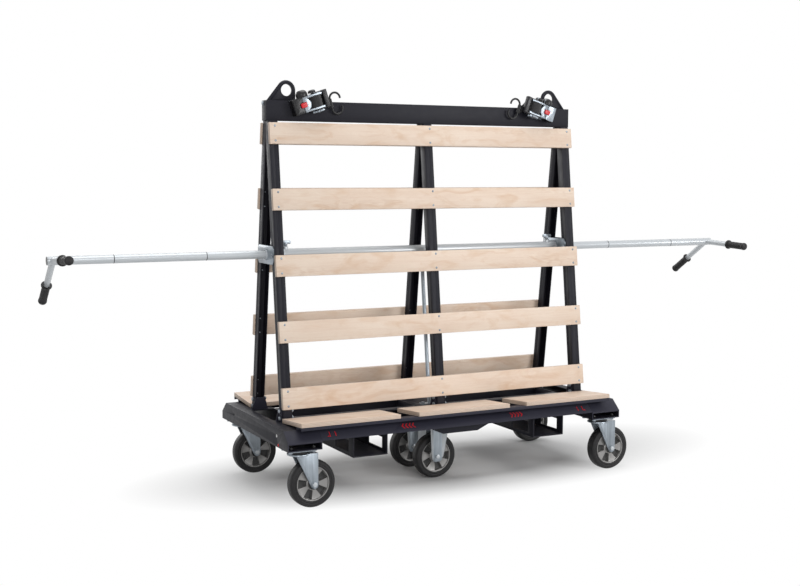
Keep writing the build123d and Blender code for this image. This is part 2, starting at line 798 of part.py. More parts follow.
# Wheels: spoked rims and rubber tyres
window_inner = hub_radius + 6
window_outer = rim_ring - 4
window_mid = (window_inner + window_outer) / 2
window_half = (window_outer - window_inner) / 2
window_outline = [
    (-window_half, -window_width[0] / 2),
    (window_half, -window_width[1] / 2),
    (window_half, window_width[1] / 2),
    (-window_half, window_width[0] / 2),
]
for name, (x, y) in all_axles.items():
    wheel_plane = Plane(origin=(x, y, wheel_radius), x_dir=(1, 0, 0), z_dir=(0, -1, 0))
    with BuildPart() as rim:
        with BuildSketch(wheel_plane):
            Circle(rim_radius)
            Circle(rim_ring, mode=Mode.SUBTRACT)
        extrude(amount=rim_width / 2, both=True)
        with BuildSketch(wheel_plane):
            Circle(rim_ring)
            with PolarLocations(window_mid, window_count, start_angle=window_turns[name]):
                Polygon(*window_outline, align=None, mode=Mode.SUBTRACT)
        extrude(amount=rim_web / 2, both=True)
        with BuildSketch(wheel_plane):
            Circle(hub_radius)
        extrude(amount=hub_width / 2, both=True)
        with BuildSketch(wheel_plane):
            Circle(axle_radius + running_gap)
        extrude(amount=hub_width, both=True, mode=Mode.SUBTRACT)
    save(rim, f"{name}_rim")
    with BuildPart() as tyre:
        section = Plane(origin=(x, y, wheel_radius), x_dir=(0, 1, 0), z_dir=(1, 0, 0))
        with BuildSketch(section):
            with Locations((0, (rim_radius + wheel_radius) / 2)):
                Rectangle(tyre_width, wheel_radius - rim_radius)
            fillet(vertices().group_by(Axis.Y)[-1], tyre_shoulder)
        revolve(axis=Axis((x, y, wheel_radius), (0, 1, 0)))
    save(tyre, f"{name}_tyre")

# Handles: a sliding tube with two welded arms, rubber grips, a stop ring and a clamp screw on each end
ring_start = tube_inner_end + stop_collar[1] + slide_clearance
for side, name in ((-1, "left"), (1, "right")):
    arm_planes = [
        Plane(
            origin=(-arm_joint, 0, handle_height),
            x_dir=(1, 0, 0),
            z_dir=(0, cos(radians(angle)), sin(radians(angle))),
        )
        for angle in (180 - front_arm_angle - handle_turns[name], rear_arm_angle - handle_turns[name])
    ]
    with BuildPart() as handle:
        with BuildSketch(Plane.YZ.offset(-tube_outer_end)):
            with Locations((0, handle_height)):
                Circle(tube_radius)
        extrude(amount=tube_outer_end - tube_inner_end)
        for arm_plane in arm_planes:
            with BuildSketch(arm_plane):
                Circle(arm_radius)
            extrude(amount=arm_length - 4)
            with BuildSketch(arm_plane.offset(2 * tube_radius)):
                Circle(arm_bore)
            extrude(amount=arm_length, mode=Mode.SUBTRACT)
        collar_ends = (tube_inner_end + stop_collar[1], ring_start + stop_ring_length + stop_collar[1] + 0.1)
        for collar_end in collar_ends:
            with BuildSketch(Plane.YZ.offset(-collar_end)):
                with Locations((0, handle_height)):
                    Circle(stop_collar[0])
            extrude(amount=stop_collar[1])
        with BuildSketch(Plane.YZ.offset(-tube_outer_end + post_wall)):
            with Locations((0, handle_height)):
                Circle(tube_bore)
        extrude(amount=tube_outer_end, mode=Mode.SUBTRACT)
        if side > 0:
            mirror(about=Plane.YZ, mode=Mode.REPLACE)
    save(handle, f"{name}_handle")
    with BuildPart() as grips:
        for arm_plane in arm_planes:
            grip_start = arm_length - grip_length
            with BuildSketch(arm_plane.offset(grip_start)):
                Circle(grip_radius)
            extrude(amount=grip_length)
            with BuildSketch(arm_plane.offset(grip_start)):
                Circle(grip_collar[0])
            extrude(amount=grip_collar[1])
            with BuildSketch(arm_plane.offset(arm_length - grip_bead[1])):
                Circle(grip_bead[0])
            extrude(amount=grip_bead[1])
            with BuildSketch(arm_plane.offset(grip_start)):
                Circle(arm_radius)
            extrude(amount=grip_length - 4, mode=Mode.SUBTRACT)
        if side > 0:
            mirror(about=Plane.YZ, mode=Mode.REPLACE)
    save(grips, f"{name}_grips")
    with BuildPart() as stop_ring:
        with BuildSketch(Plane.YZ.offset(-ring_start - stop_ring_length)):
            with Locations((0, handle_height)):
                Circle(sleeve_bore - slide_clearance)
                Circle(tube_radius + slide_clearance, mode=Mode.SUBTRACT)
        extrude(amount=stop_ring_length)
        if side > 0:
            mirror(about=Plane.YZ, mode=Mode.REPLACE)
    save(stop_ring, f"{name}_stop_ring")
    with BuildPart() as clamp_screw:
        screw_tip = handle_height + tube_radius + clamp_tip_gap
        hub_bottom = handle_height + clamp_hub[1]
        with BuildSketch(Plane.XY.offset(screw_tip)):
            with Locations((side * clamp_x, 0)):
                Circle(clamp_screw_radius)
        extrude(amount=hub_bottom - screw_tip)
        with BuildSketch(Plane.XY.offset(hub_bottom)):
            with Locations((side * clamp_x, 0)):
                Circle(clamp_hub[0])
        extrude(amount=clamp_hub[2])
        wing_plane = Plane.XZ.offset(-wing[1] / 2)
        with BuildSketch(wing_plane):
            with Locations((side * clamp_x, hub_bottom + clamp_hub[2])):
                RectangleRounded(wing[0], wing[2], 5)
        extrude(amount=wing[1])
    save(clamp_screw, f"{name}_clamp_screw")

# Strap units, built on the left: U runs along the unit, V across it, W outwards from the beam
tilt = radians(strap_tilt)
strap_origin = (strap_centre[0], -beam_half_width, strap_centre[1])
strap_face = Plane(origin=strap_origin, x_dir=(cos(tilt), 0, sin(tilt)), z_dir=(0, -1, 0))
strap_side = Plane(origin=strap_origin, x_dir=(cos(tilt), 0, sin(tilt)), z_dir=(sin(tilt), 0, -cos(tilt)))

# Strap frames: base plate, two side plates with lips, a round tongue, the spindle and its ratchet wheel
base_u0, base_u1, base_v, base_w = strap_base
lip_u, lip_w, lip_v = strap_lip
plate_u = cover[1] + 3
plate_outside = strap_plate_v + strap_plate / 2
pivot = (spool_u, spool_w - band_pitch / 4)
tip_radius, root_radius, ratchet_start, ratchet_end, teeth = ratchet_wheel
ratchet_outline = []
for index in range(teeth):
    for radius, turn in ((tip_radius, index), (root_radius, index + 0.3), (root_radius, index + 0.7)):
        angle = radians(360 * turn / teeth)
        ratchet_outline.append((pivot[0] + radius * cos(angle), pivot[1] + radius * sin(angle)))
plate_outline = [(plate_u, 0), (base_u1, 0), (base_u1, base_w + 10), (lip_u, lip_w), (plate_u, lip_w)]
lip_outline = [(plate_u, lip_w - strap_plate), (lip_u, lip_w - strap_plate), (lip_u, lip_w), (plate_u, lip_w)]
with BuildPart() as strap_frames:
    with BuildSketch(strap_face):
        with Locations(((base_u0 + base_u1) / 2, 0)):
            Rectangle(base_u1 - base_u0, 2 * base_v)
    extrude(amount=base_w)
    for side in (-1, 1):
        with BuildSketch(strap_side.offset(side * plate_outside)):
            Polygon(*plate_outline, align=None)
        extrude(amount=-side * strap_plate)
        with BuildSketch(strap_side.offset(side * plate_outside)):
            Polygon(*lip_outline, align=None)
        extrude(amount=-side * (plate_outside - lip_v))
    with BuildSketch(strap_side):
        with Locations(pivot):
            Circle(spindle_radius)
    extrude(amount=spindle_reach, both=True)
    with BuildSketch(strap_side.offset(ratchet_start)):
        Polygon(*ratchet_outline, align=None)
    extrude(amount=ratchet_end - ratchet_start)
    with BuildSketch(strap_face.offset(cover[3] - strap_plate)):
        with Locations(((plate_u + tongue[0]) / 2, 0)):
            Rectangle(tongue[0] - plate_u, 2 * strap_plate_v)
        with Locations((tongue[0], 0)):
            Circle(tongue[1])
        with Locations((plate_u - tongue[1], 0)):
            Rectangle(2 * tongue[1], 4 * tongue[1], mode=Mode.SUBTRACT)
        with Locations((button_u, 0)):
            Rectangle(button[0] + 2 * button_gap, button[1] + 2 * button_gap, mode=Mode.SUBTRACT)
    extrude(amount=strap_plate)
    mirror(about=Plane.YZ)
save(strap_frames, "strap_frames")

# Strap covers: hollow boxes, notched for the button, with a round spring cap, and a cap on the spindle end
cover_u0, cover_u1, cover_v, cover_w = cover
cover_mid = (cover_u0 + cover_u1) / 2
flange_grow, flange_height = button_flange
flange_top = cover_w - strap_plate - button_gap
with BuildPart() as strap_covers:
    with BuildSketch(strap_face.offset(base_w)):
        with Locations((cover_mid, 0)):
            RectangleRounded(cover_u1 - cover_u0, 2 * cover_v, 5)
    extrude(amount=cover_w - base_w)
    with BuildSketch(strap_face.offset(base_w)):
        with Locations((cover_mid, 0)):
            RectangleRounded(cover_u1 - cover_u0 - 2 * cover_wall, 2 * (cover_v - cover_wall), 3)
    extrude(amount=cover_w - base_w - cover_wall, mode=Mode.SUBTRACT)
    with BuildSketch(strap_face.offset(cover_w)):
        with Locations((button_u, 0)):
            Rectangle(button[0] + 2 * button_gap, button[1] + 2 * button_gap)
    extrude(amount=-2 * cover_wall, mode=Mode.SUBTRACT)
    with BuildSketch(strap_face.offset(flange_top + button_gap)):
        with Locations((button_u, 0)):
            flange_room = flange_grow + button_gap
            Rectangle(button[0] + 2 * flange_room, button[1] + 2 * flange_room)
    extrude(amount=-flange_height - button_travel - 2 * button_gap, mode=Mode.SUBTRACT)
    across = Axis(strap_origin, -strap_side.z_dir)
    cap_seats = ((axle_cap, spindle_reach), (spring_cap, plate_outside + 0.5))
    for (cap_u, cap_w, radius, height, edge), seat in cap_seats:
        with BuildSketch(strap_side.offset(-seat)):
            with Locations((cap_u, cap_w)):
                Circle(radius)
        extrude(amount=-height)
        fillet(strap_covers.edges().filter_by(GeomType.CIRCLE).sort_by(across)[-1], edge)
    mirror(about=Plane.YZ)
save(strap_covers, "strap_covers")

# Strap webbing: one band wound in half turns on the spindle, with a hanging tail and a sewn eye for the hook
half_turns = []
for index in range(2 * band_turns):
    centre_w = spool_w if index % 2 == 0 else spool_w - band_pitch / 2
    start_angle = -90 if index % 2 == 0 else 90
    half_turns.append(((spool_u, centre_w), band_first_radius + index * band_pitch / 2, start_angle))
tail_w = half_turns[-1][0][1] - half_turns[-1][1]
eye_w = tail_w + eye_radius
eye_place = (eye_u, eye_w)
eye_last = -90 + eye_arc
eye_end = Vector(cos(radians(eye_last)), sin(radians(eye_last)))
with BuildPart() as strap_webbing:
    with BuildSketch(strap_side):
        with BuildLine():
            for centre, radius, start_angle in half_turns:
                CenterArc(centre, radius + band / 2, start_angle, 180)
            Line((spool_u, tail_w - band / 2), (tail_u, tail_w - band / 2))
            Line((tail_u, tail_w - band / 2), (tail_u, tail_w + band / 2))
            Line((tail_u, tail_w + band / 2), (spool_u, tail_w + band / 2))
            for centre, radius, start_angle in half_turns[::-1]:
                CenterArc(centre, radius - band / 2, start_angle + 180, -180)
            first_w = spool_w - band_first_radius
            Line((spool_u, first_w + band / 2), (spool_u, first_w - band / 2))
        make_face()
    extrude(amount=band_half_width, both=True)
    with BuildSketch(strap_face.offset(tail_w - band / 2)):
        Polygon(
            (tail_u, -band_half_width),
            (eye_start_u, eye_v - eye_half_width),
            (eye_u, eye_v - eye_half_width),
            (eye_u, eye_v + eye_half_width),
            (eye_start_u, eye_v + eye_half_width),
            (tail_u, band_half_width),
            align=None,
        )
    extrude(amount=band)
    with BuildSketch(strap_side.offset(-eye_v)):
        with BuildLine():
            CenterArc(eye_place, eye_radius + band / 2, -90, eye_arc)
            Line(
                Vector(*eye_place) + eye_end * (eye_radius + band / 2),
                Vector(*eye_place) + eye_end * (eye_radius - band / 2),
            )
            CenterArc(eye_place, eye_radius - band / 2, eye_last, -eye_arc)
            Line((eye_u, tail_w + band / 2), (eye_u, tail_w - band / 2))
        make_face()
    extrude(amount=eye_half_width, both=True)
    mirror(about=Plane.YZ)
save(strap_webbing, "strap_webbing")

half_turn_steps = 30
turn_points = []
for centre, radius, start_angle in half_turns:
    for step in range(half_turn_steps):
        angle = radians(start_angle + 180 * step / half_turn_steps)
        turn_points.append((centre[0] + radius * cos(angle), centre[1] + radius * sin(angle)))
band_gap = min(
    hypot(a[0] - b[0], a[1] - b[1]) - band
    for index, a in enumerate(turn_points)
    for b in turn_points[index + half_turn_steps :]
)
eye_gap = eye_w + eye_radius * sin(radians(eye_last)) - tail_w - band
print(f"webbing: least gap between turns {band_gap:.2f} mm, at the eye {eye_gap:.2f} mm")

# Levers, buttons and hooks, one of each per strap unit
grip_u0, grip_u1, grip_v, grip_w0, grip_w1 = lever_grip
claw_u = eye_u + 2 * hook_arch
upper = hook_v + hook_half_straight
lower = hook_v - hook_half_straight
for side, name in ((-1, "left"), (1, "right")):
    with BuildPart() as strap_lever:
        for offset in (-lever_arm[0], lever_arm[0]):
            with BuildSketch(strap_side.offset(offset)):
                with BuildLine():
                    CenterArc(pivot, lever_boss, 90, 180)
                    Line((pivot[0], pivot[1] - lever_boss), (grip_u0 + 4, grip_w0 + 4))
                    Line((grip_u0 + 4, grip_w0 + 4), (grip_u0 + 4, grip_w1 - 4))
                    Line((grip_u0 + 4, grip_w1 - 4), (pivot[0], pivot[1] + lever_boss))
                make_face()
                with Locations(pivot):
                    Circle(spindle_radius + running_gap, mode=Mode.SUBTRACT)
            reach = lever_arm[1] - lever_arm[0]
            extrude(amount=reach if offset > 0 else -reach)
        with BuildSketch(strap_side):
            with Locations(((grip_u0 + grip_u1) / 2, (grip_w0 + grip_w1) / 2)):
                RectangleRounded(grip_u1 - grip_u0, grip_w1 - grip_w0, 7)
        extrude(amount=grip_v, both=True)
        if side > 0:
            mirror(about=Plane.YZ, mode=Mode.REPLACE)
    save(strap_lever, f"{name}_strap_lever")
    with BuildPart() as strap_button:
        with BuildSketch(strap_face.offset(flange_top)):
            with Locations((button_u, 0)):
                RectangleRounded(*button)
        extrude(amount=button_face - flange_top)
        with BuildSketch(strap_face.offset(flange_top)):
            with Locations((button_u, 0)):
                Rectangle(button[0] + 2 * flange_grow, button[1] + 2 * flange_grow)
        extrude(amount=-flange_height)
        if side > 0:
            mirror(about=Plane.YZ, mode=Mode.REPLACE)
    save(strap_button, f"{name}_strap_button")
    with BuildPart() as strap_hook:
        with BuildLine(strap_face.offset(eye_w)) as hook_path:
            Line((claw_u, upper - hook_tip), (claw_u, upper))
            CenterArc((eye_u + hook_arch, upper), hook_arch, 0, 180)
            Line((eye_u, upper), (eye_u, lower))
            CenterArc((eye_u + hook_arch, lower), hook_arch, 180, 180)
            Line((claw_u, lower), (claw_u, lower + hook_tip))
        with BuildSketch(Plane(origin=hook_path.line @ 0, z_dir=hook_path.line % 0)):
            Circle(hook_wire)
        sweep(path=hook_path.line)
        if side > 0:
            mirror(about=Plane.YZ, mode=Mode.REPLACE)
    save(strap_hook, f"{name}_strap_hook")
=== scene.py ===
"""Plasterboard trolley: finishes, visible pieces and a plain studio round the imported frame."""

import json
from itertools import product
from math import atan, cos, hypot, pi, radians, sin

import bmesh
import bpy
from mathutils import Matrix, Vector

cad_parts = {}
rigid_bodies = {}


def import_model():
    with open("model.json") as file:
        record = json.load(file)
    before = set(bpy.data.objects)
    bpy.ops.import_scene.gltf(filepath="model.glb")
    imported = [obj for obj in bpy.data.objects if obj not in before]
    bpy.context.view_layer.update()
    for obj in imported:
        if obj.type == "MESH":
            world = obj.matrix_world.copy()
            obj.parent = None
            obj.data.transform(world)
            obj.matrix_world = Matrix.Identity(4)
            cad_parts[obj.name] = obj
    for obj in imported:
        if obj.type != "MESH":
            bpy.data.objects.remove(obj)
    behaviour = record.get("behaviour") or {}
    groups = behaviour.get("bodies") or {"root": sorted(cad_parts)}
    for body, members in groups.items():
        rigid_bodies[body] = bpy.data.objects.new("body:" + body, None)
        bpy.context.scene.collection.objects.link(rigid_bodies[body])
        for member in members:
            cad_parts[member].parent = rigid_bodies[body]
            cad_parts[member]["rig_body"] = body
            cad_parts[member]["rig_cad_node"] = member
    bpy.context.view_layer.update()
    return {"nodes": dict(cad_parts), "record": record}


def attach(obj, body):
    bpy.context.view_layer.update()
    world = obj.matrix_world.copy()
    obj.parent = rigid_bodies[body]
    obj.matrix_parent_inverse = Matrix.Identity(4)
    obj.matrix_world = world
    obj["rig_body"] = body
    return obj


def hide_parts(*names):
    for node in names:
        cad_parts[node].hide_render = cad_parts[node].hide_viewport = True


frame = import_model()

bl_info = {
    "name": "Plasterboard trolley",
    "version": (1, 0, 0),
    "blender": (4, 5, 0),
    "location": "View3D > Sidebar > Trolley",
    "description": "Dresses the packed trolley with its visible pieces, finishes and studio",
    "category": "Object",
}

sides = {"left": -1, "right": 1}
fronts = {"front": -1, "rear": 1}

# Where the wheels stand, and how far each rim is turned, in degrees.
corner_pivots = {
    "front_left": (-0.748, -0.325),
    "rear_left": (-0.748, 0.325),
    "front_right": (0.748, -0.325),
    "rear_right": (0.748, 0.325),
}
mid_pivots = {"front_mid": (0.0, -0.113), "rear_mid": (0.0, 0.113)}
window_turns = {
    "front_left": 33,
    "rear_left": 55,
    "front_right": 35,
    "rear_right": 12,
    "front_mid": 69,
    "rear_mid": 48,
}
axle_height = 0.1
castor_trail = 0.056

# The leaning back rest, the top beam and the chassis.
lean = 0.12
slope_length = hypot(1, lean)
post_foot = 0.22166
beam_end = 0.762
channel_end = 0.82
rail_foot = Vector((0.0, 0.39, 0.284))
rail_head = Vector((0.0, 0.34, 0.328))

# The handles, with the turns of their cross arms in degrees.
handle_height = 1.018
arm_joint = 1.646
arm_length = 0.285
arm_turns = {"left": (176, -40), "right": (182, -34)}
grip_length = 0.120
tube_end = 1.6697

# The left strap unit; the right one is its mirror image.
strap_origin = Vector((-0.58, -0.026, 1.654))
strap_tilt = radians(18)


class TrolleyFinishes(bpy.types.PropertyGroup):
    """Colours of the trolley's finishes."""

    steel: bpy.props.FloatVectorProperty(
        name="Steel", description="Powder coat of the frame",
        default=(0.0115, 0.0115, 0.0172), subtype="COLOR",
    )
    wood: bpy.props.FloatVectorProperty(
        name="Wood", description="Face of the plywood",
        default=(0.785, 0.654, 0.542), subtype="COLOR",
    )
    figure: bpy.props.FloatVectorProperty(
        name="Figure", description="Darker figure of the plywood",
        default=(0.66, 0.48, 0.36), subtype="COLOR",
    )
    warm: bpy.props.FloatVectorProperty(
        name="Warm", description="Warm curls in the plywood",
        default=(0.61, 0.39, 0.235), subtype="COLOR",
    )
    zinc: bpy.props.FloatVectorProperty(
        name="Zinc", description="Plating of forks and plates",
        default=(0.275, 0.31, 0.345), subtype="COLOR",
    )
    # The tubes' own brighter plating, which on the axle heads is partly painted highlight and on
    # the mid forks' flanges painted light.
    tube: bpy.props.FloatVectorProperty(
        name="Tube", description="Brighter plating of tubes and axles",
        default=(0.52, 0.55, 0.575), subtype="COLOR",
    )
    alloy: bpy.props.FloatVectorProperty(
        name="Alloy", description="Cast metal of the rims",
        default=(0.265, 0.26, 0.255), subtype="COLOR",
    )
    rubber: bpy.props.FloatVectorProperty(
        name="Rubber", description="Tyres and grips",
        default=(0.0092, 0.0087, 0.0094), subtype="COLOR",
    )
    webbing: bpy.props.FloatVectorProperty(
        name="Webbing", description="Woven strap",
        default=(0.009, 0.009, 0.010), subtype="COLOR",
    )
    plastic: bpy.props.FloatVectorProperty(
        name="Plastic", description="Covers and caps",
        default=(0.007, 0.007, 0.0085), subtype="COLOR",
    )
    red: bpy.props.FloatVectorProperty(
        name="Red", description="Buttons and rail marks",
        default=(0.60, 0.012, 0.02), subtype="COLOR",
    )


class TrolleySizes(bpy.types.PropertyGroup):
    """Sizes of the pieces that are made here."""

    tyre_radius: bpy.props.FloatProperty(
        name="Tyre radius", description="From the axle to the tread",
        default=0.1, unit="LENGTH",
    )
    board: bpy.props.FloatVectorProperty(
        name="Deck board", description="Length, width and thickness",
        default=(0.45, 0.205, 0.018), unit="LENGTH",
    )
    slat: bpy.props.FloatVectorProperty(
        name="Slat", description="Length, width and thickness",
        default=(1.52, 0.09, 0.018), unit="LENGTH",
    )
    edge: bpy.props.FloatProperty(
        name="Steel edge", description="Rounding on folded steel",
        default=0.0012, unit="LENGTH",
    )
    band: bpy.props.FloatProperty(
        name="Webbing thickness", description="Thickness of the strap",
        default=0.0022, unit="LENGTH",
    )


class TrolleyStage(bpy.types.PropertyGroup):
    """Camera and light."""

    place: bpy.props.FloatVectorProperty(
        name="Camera place", description="Where the camera stands",
        default=(-2.6935, -4.94215, 1.39323), subtype="TRANSLATION", unit="LENGTH",
    )
    yaw: bpy.props.FloatProperty(name="Yaw", description="Degrees to the right", default=27.54)
    pitch: bpy.props.FloatProperty(name="Pitch", description="Degrees down", default=5.8)
    roll: bpy.props.FloatProperty(name="Roll", description="Degrees about the view", default=-0.31)
    lens: bpy.props.FloatProperty(
        name="Lens", description="Focal length in millimetres", default=56.23
    )
    ambient: bpy.props.FloatProperty(
        name="Ambient", description="Light from all round", default=0.3
    )


# For the work on meshes: gaps and a starting size in metres, and angles in degrees.
merge_gap = 0.00002
corner_gap = 0.00005
start_size = 0.01
corner_segments = 4
flat_angle = 0.4
hard_angle = 38
# An axis whose Z is at least this much counts as upright.
upright = 0.9


def deselect():
    """Leave edit mode and select nothing."""
    if bpy.context.mode != "OBJECT":
        bpy.ops.object.mode_set(mode="OBJECT")
    bpy.ops.object.select_all(action="DESELECT")


def take(*objects):
    """Select only these objects, the first of them active."""
    deselect()
    for item in objects:
        item.select_set(True)
    bpy.context.view_layer.objects.active = objects[0]


def edit(kind="VERT"):
    """Enter edit mode on the active object, with all of it selected."""
    bpy.ops.object.mode_set(mode="EDIT")
    bpy.ops.mesh.select_mode(type=kind)
    bpy.ops.mesh.select_all(action="SELECT")


def leave():
    """Leave edit mode and give the active object."""
    bpy.ops.object.mode_set(mode="OBJECT")
    return bpy.context.object


def pick(kind, test):
    """Select the faces or vertices of the edited mesh that pass a test."""
    bpy.ops.mesh.select_mode(type=kind)
    bpy.ops.mesh.select_all(action="DESELECT")
    mesh = bmesh.from_edit_mesh(bpy.context.object.data)
    for part in {"VERT": mesh.verts, "FACE": mesh.faces}[kind]:
        if test(part):
            part.select_set(True)
    mesh.select_flush_mode()
    bmesh.update_edit_mesh(bpy.context.object.data)


def draw(name, points):
    """Draw a line of edges by drawing one point out from place to place."""
    deselect()
    bpy.ops.mesh.primitive_plane_add(size=start_size)
    bpy.context.object.name = name
    edit()
    bpy.ops.mesh.merge(type="CENTER")
    bpy.ops.transform.translate(value=points[0])
    for start, end in zip(points, points[1:]):
        step = Vector(end) - Vector(start)
        bpy.ops.mesh.extrude_vertices_move(TRANSFORM_OT_translate={"value": step})


def close_up():
    """Merge what meets and turn every face outwards."""
    bpy.ops.mesh.select_all(action="SELECT")
    bpy.ops.mesh.remove_doubles(threshold=merge_gap)
    bpy.ops.mesh.normals_make_consistent(inside=False)


def lathe(name, profile, centre=(0, 0, 0), axis=(0, 1, 0), steps=48, closed=False):
    """Spin a profile of radius and height, open or closed, round an axis."""
    profile = [*profile, profile[0]] if closed else profile
    centre, axis = Vector(centre), Vector(axis).normalized()
    out = Vector((0, 0, 1)) if abs(axis.z) < upright else Vector((1, 0, 0))
    out = (out - axis * out.dot(axis)).normalized()
    draw(name, [centre + out * radius + axis * height for radius, height in profile])
    bpy.ops.mesh.select_all(action="SELECT")
    bpy.ops.mesh.spin(steps=steps, angle=2 * pi, center=centre, axis=axis)
    close_up()
    return leave()


def plate(name, outline, rounding=()):
    """Fill an outline in the X-Z plane and round some of its corners; leaves it in edit mode."""
    draw(name, [(x, 0, z) for x, z in outline])
    bpy.ops.mesh.select_all(action="SELECT")
    bpy.ops.mesh.edge_face_add()
    for index, radius in rounding:
        corner = Vector((outline[index][0], 0, outline[index][1]))
        pick("VERT", lambda vertex: (vertex.co - corner).length < corner_gap)
        bpy.ops.mesh.bevel(offset=radius, segments=corner_segments, affect="VERTICES")
    bpy.ops.mesh.select_all(action="SELECT")


def block(name, size, edge, segments=2):
    """A box with rounded edges, at the origin."""
    deselect()
    bpy.ops.mesh.primitive_cube_add(size=1)
    made = bpy.context.object
    made.name = name
    made.scale = size
    bpy.ops.object.transform_apply(location=True, rotation=True, scale=True)
    edit("EDGE")
    bpy.ops.mesh.bevel(offset=edge, segments=segments)
    return leave()


def settle(item, matrix):
    """Move an object and leave its place in its mesh."""
    take(item)
    item.matrix_world = matrix @ item.matrix_world
    bpy.ops.object.transform_apply(location=True, rotation=True, scale=True)
    return item


def thrown_away(*items):
    """Delete objects that were only a start."""
    for item in items:
        bpy.data.objects.remove(item)


def turned_round(item):
    """Turn the faces of a mirrored mesh outwards again."""
    take(item)
    edit()
    bpy.ops.mesh.normals_make_consistent(inside=False)
    return leave()


def copy_of(item, name, matrix):
    """A copy with its own mesh, moved by a matrix."""
    take(item)
    bpy.ops.object.duplicate(linked=False)
    made = bpy.context.object
    made.name = name
    settle(made, matrix)
    return turned_round(made) if matrix.determinant() < 0 else made


def joined(name, items):
    """Join objects into one."""
    take(*items)
    bpy.ops.object.join()
    made = bpy.context.object
    made.name = name
    return made


def modify(item, kind, **settings):
    """Add a modifier and apply it."""
    take(item)
    modifier = item.modifiers.new(kind.title(), kind)
    for key, value in settings.items():
        setattr(modifier, key, value)
    bpy.ops.object.modifier_apply(modifier=modifier.name)
    return item


def rounded(item, width, angle=40, segments=2):
    """Round the edges of a mesh that are sharper than an angle."""
    return modify(
        item, "BEVEL", width=width, segments=segments,
        limit_method="ANGLE", angle_limit=radians(angle),
    )


def thickened(item, thickness):
    """Give a sheet its thickness, half of it to each side."""
    return modify(item, "SOLIDIFY", thickness=thickness, offset=0)


def soften(node, width, segments=2):
    """Copy a node, merge its triangles and round its hard edges."""
    take(frame["nodes"][node])
    bpy.ops.object.duplicate(linked=False)
    made = bpy.context.object
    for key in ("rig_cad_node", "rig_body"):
        del made[key]
    made.parent = None
    made.name = node + "_finished"
    made.data.materials.clear()
    bpy.ops.mesh.customdata_custom_splitnormals_clear()
    edit()
    bpy.ops.mesh.remove_doubles(threshold=merge_gap)
    bpy.ops.mesh.dissolve_limited(angle_limit=radians(flat_angle))
    return rounded(leave(), width, hard_angle, segments)


def paint_faces(item, main, *rules):
    """Give a mesh a main finish, and others on faces whose middle passes a test."""
    item.data.materials.append(main)
    take(item)
    edit("FACE")
    for index, (finish, test) in enumerate(rules, 1):
        item.data.materials.append(finish)
        pick("FACE", lambda face: test(face.calc_center_median()))
        item.active_material_index = index
        bpy.ops.object.material_slot_assign()
    leave()


def hand_over(item, body, slot, material, *nodes, smooth=35):
    """Give a piece its finish and its body, and hide the nodes it stands for."""
    if not item.data.materials:
        item.data.materials.append(material)
    take(item)
    bpy.ops.object.shade_smooth_by_angle(angle=radians(smooth))
    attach(item, body)
    if nodes:
        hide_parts(*nodes)
    deselect()


def stand_for(node, item, material):
    """Hand over a piece that stands for one node, with that node's body."""
    parts = frame["record"]["subparts"]
    slot = next(part["material_slot"] for part in parts if part["node"] == node)
    hand_over(item, frame["nodes"][node]["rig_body"], slot, material, node)


def dress(node, material):
    """Give a node that stays its finish."""
    mesh = frame["nodes"][node].data
    mesh.materials.clear()
    mesh.materials.append(material)


# The part of a noise's range that finishes use, and the colour sockets of a Mix node.
cloud_range = (0.3, 0.7)
mix_inputs = (0, 6, 7)
mix_output = 2


def tint(colour, amount):
    """A colour made lighter or darker."""
    return tuple(min(1.0, part * amount) for part in colour)


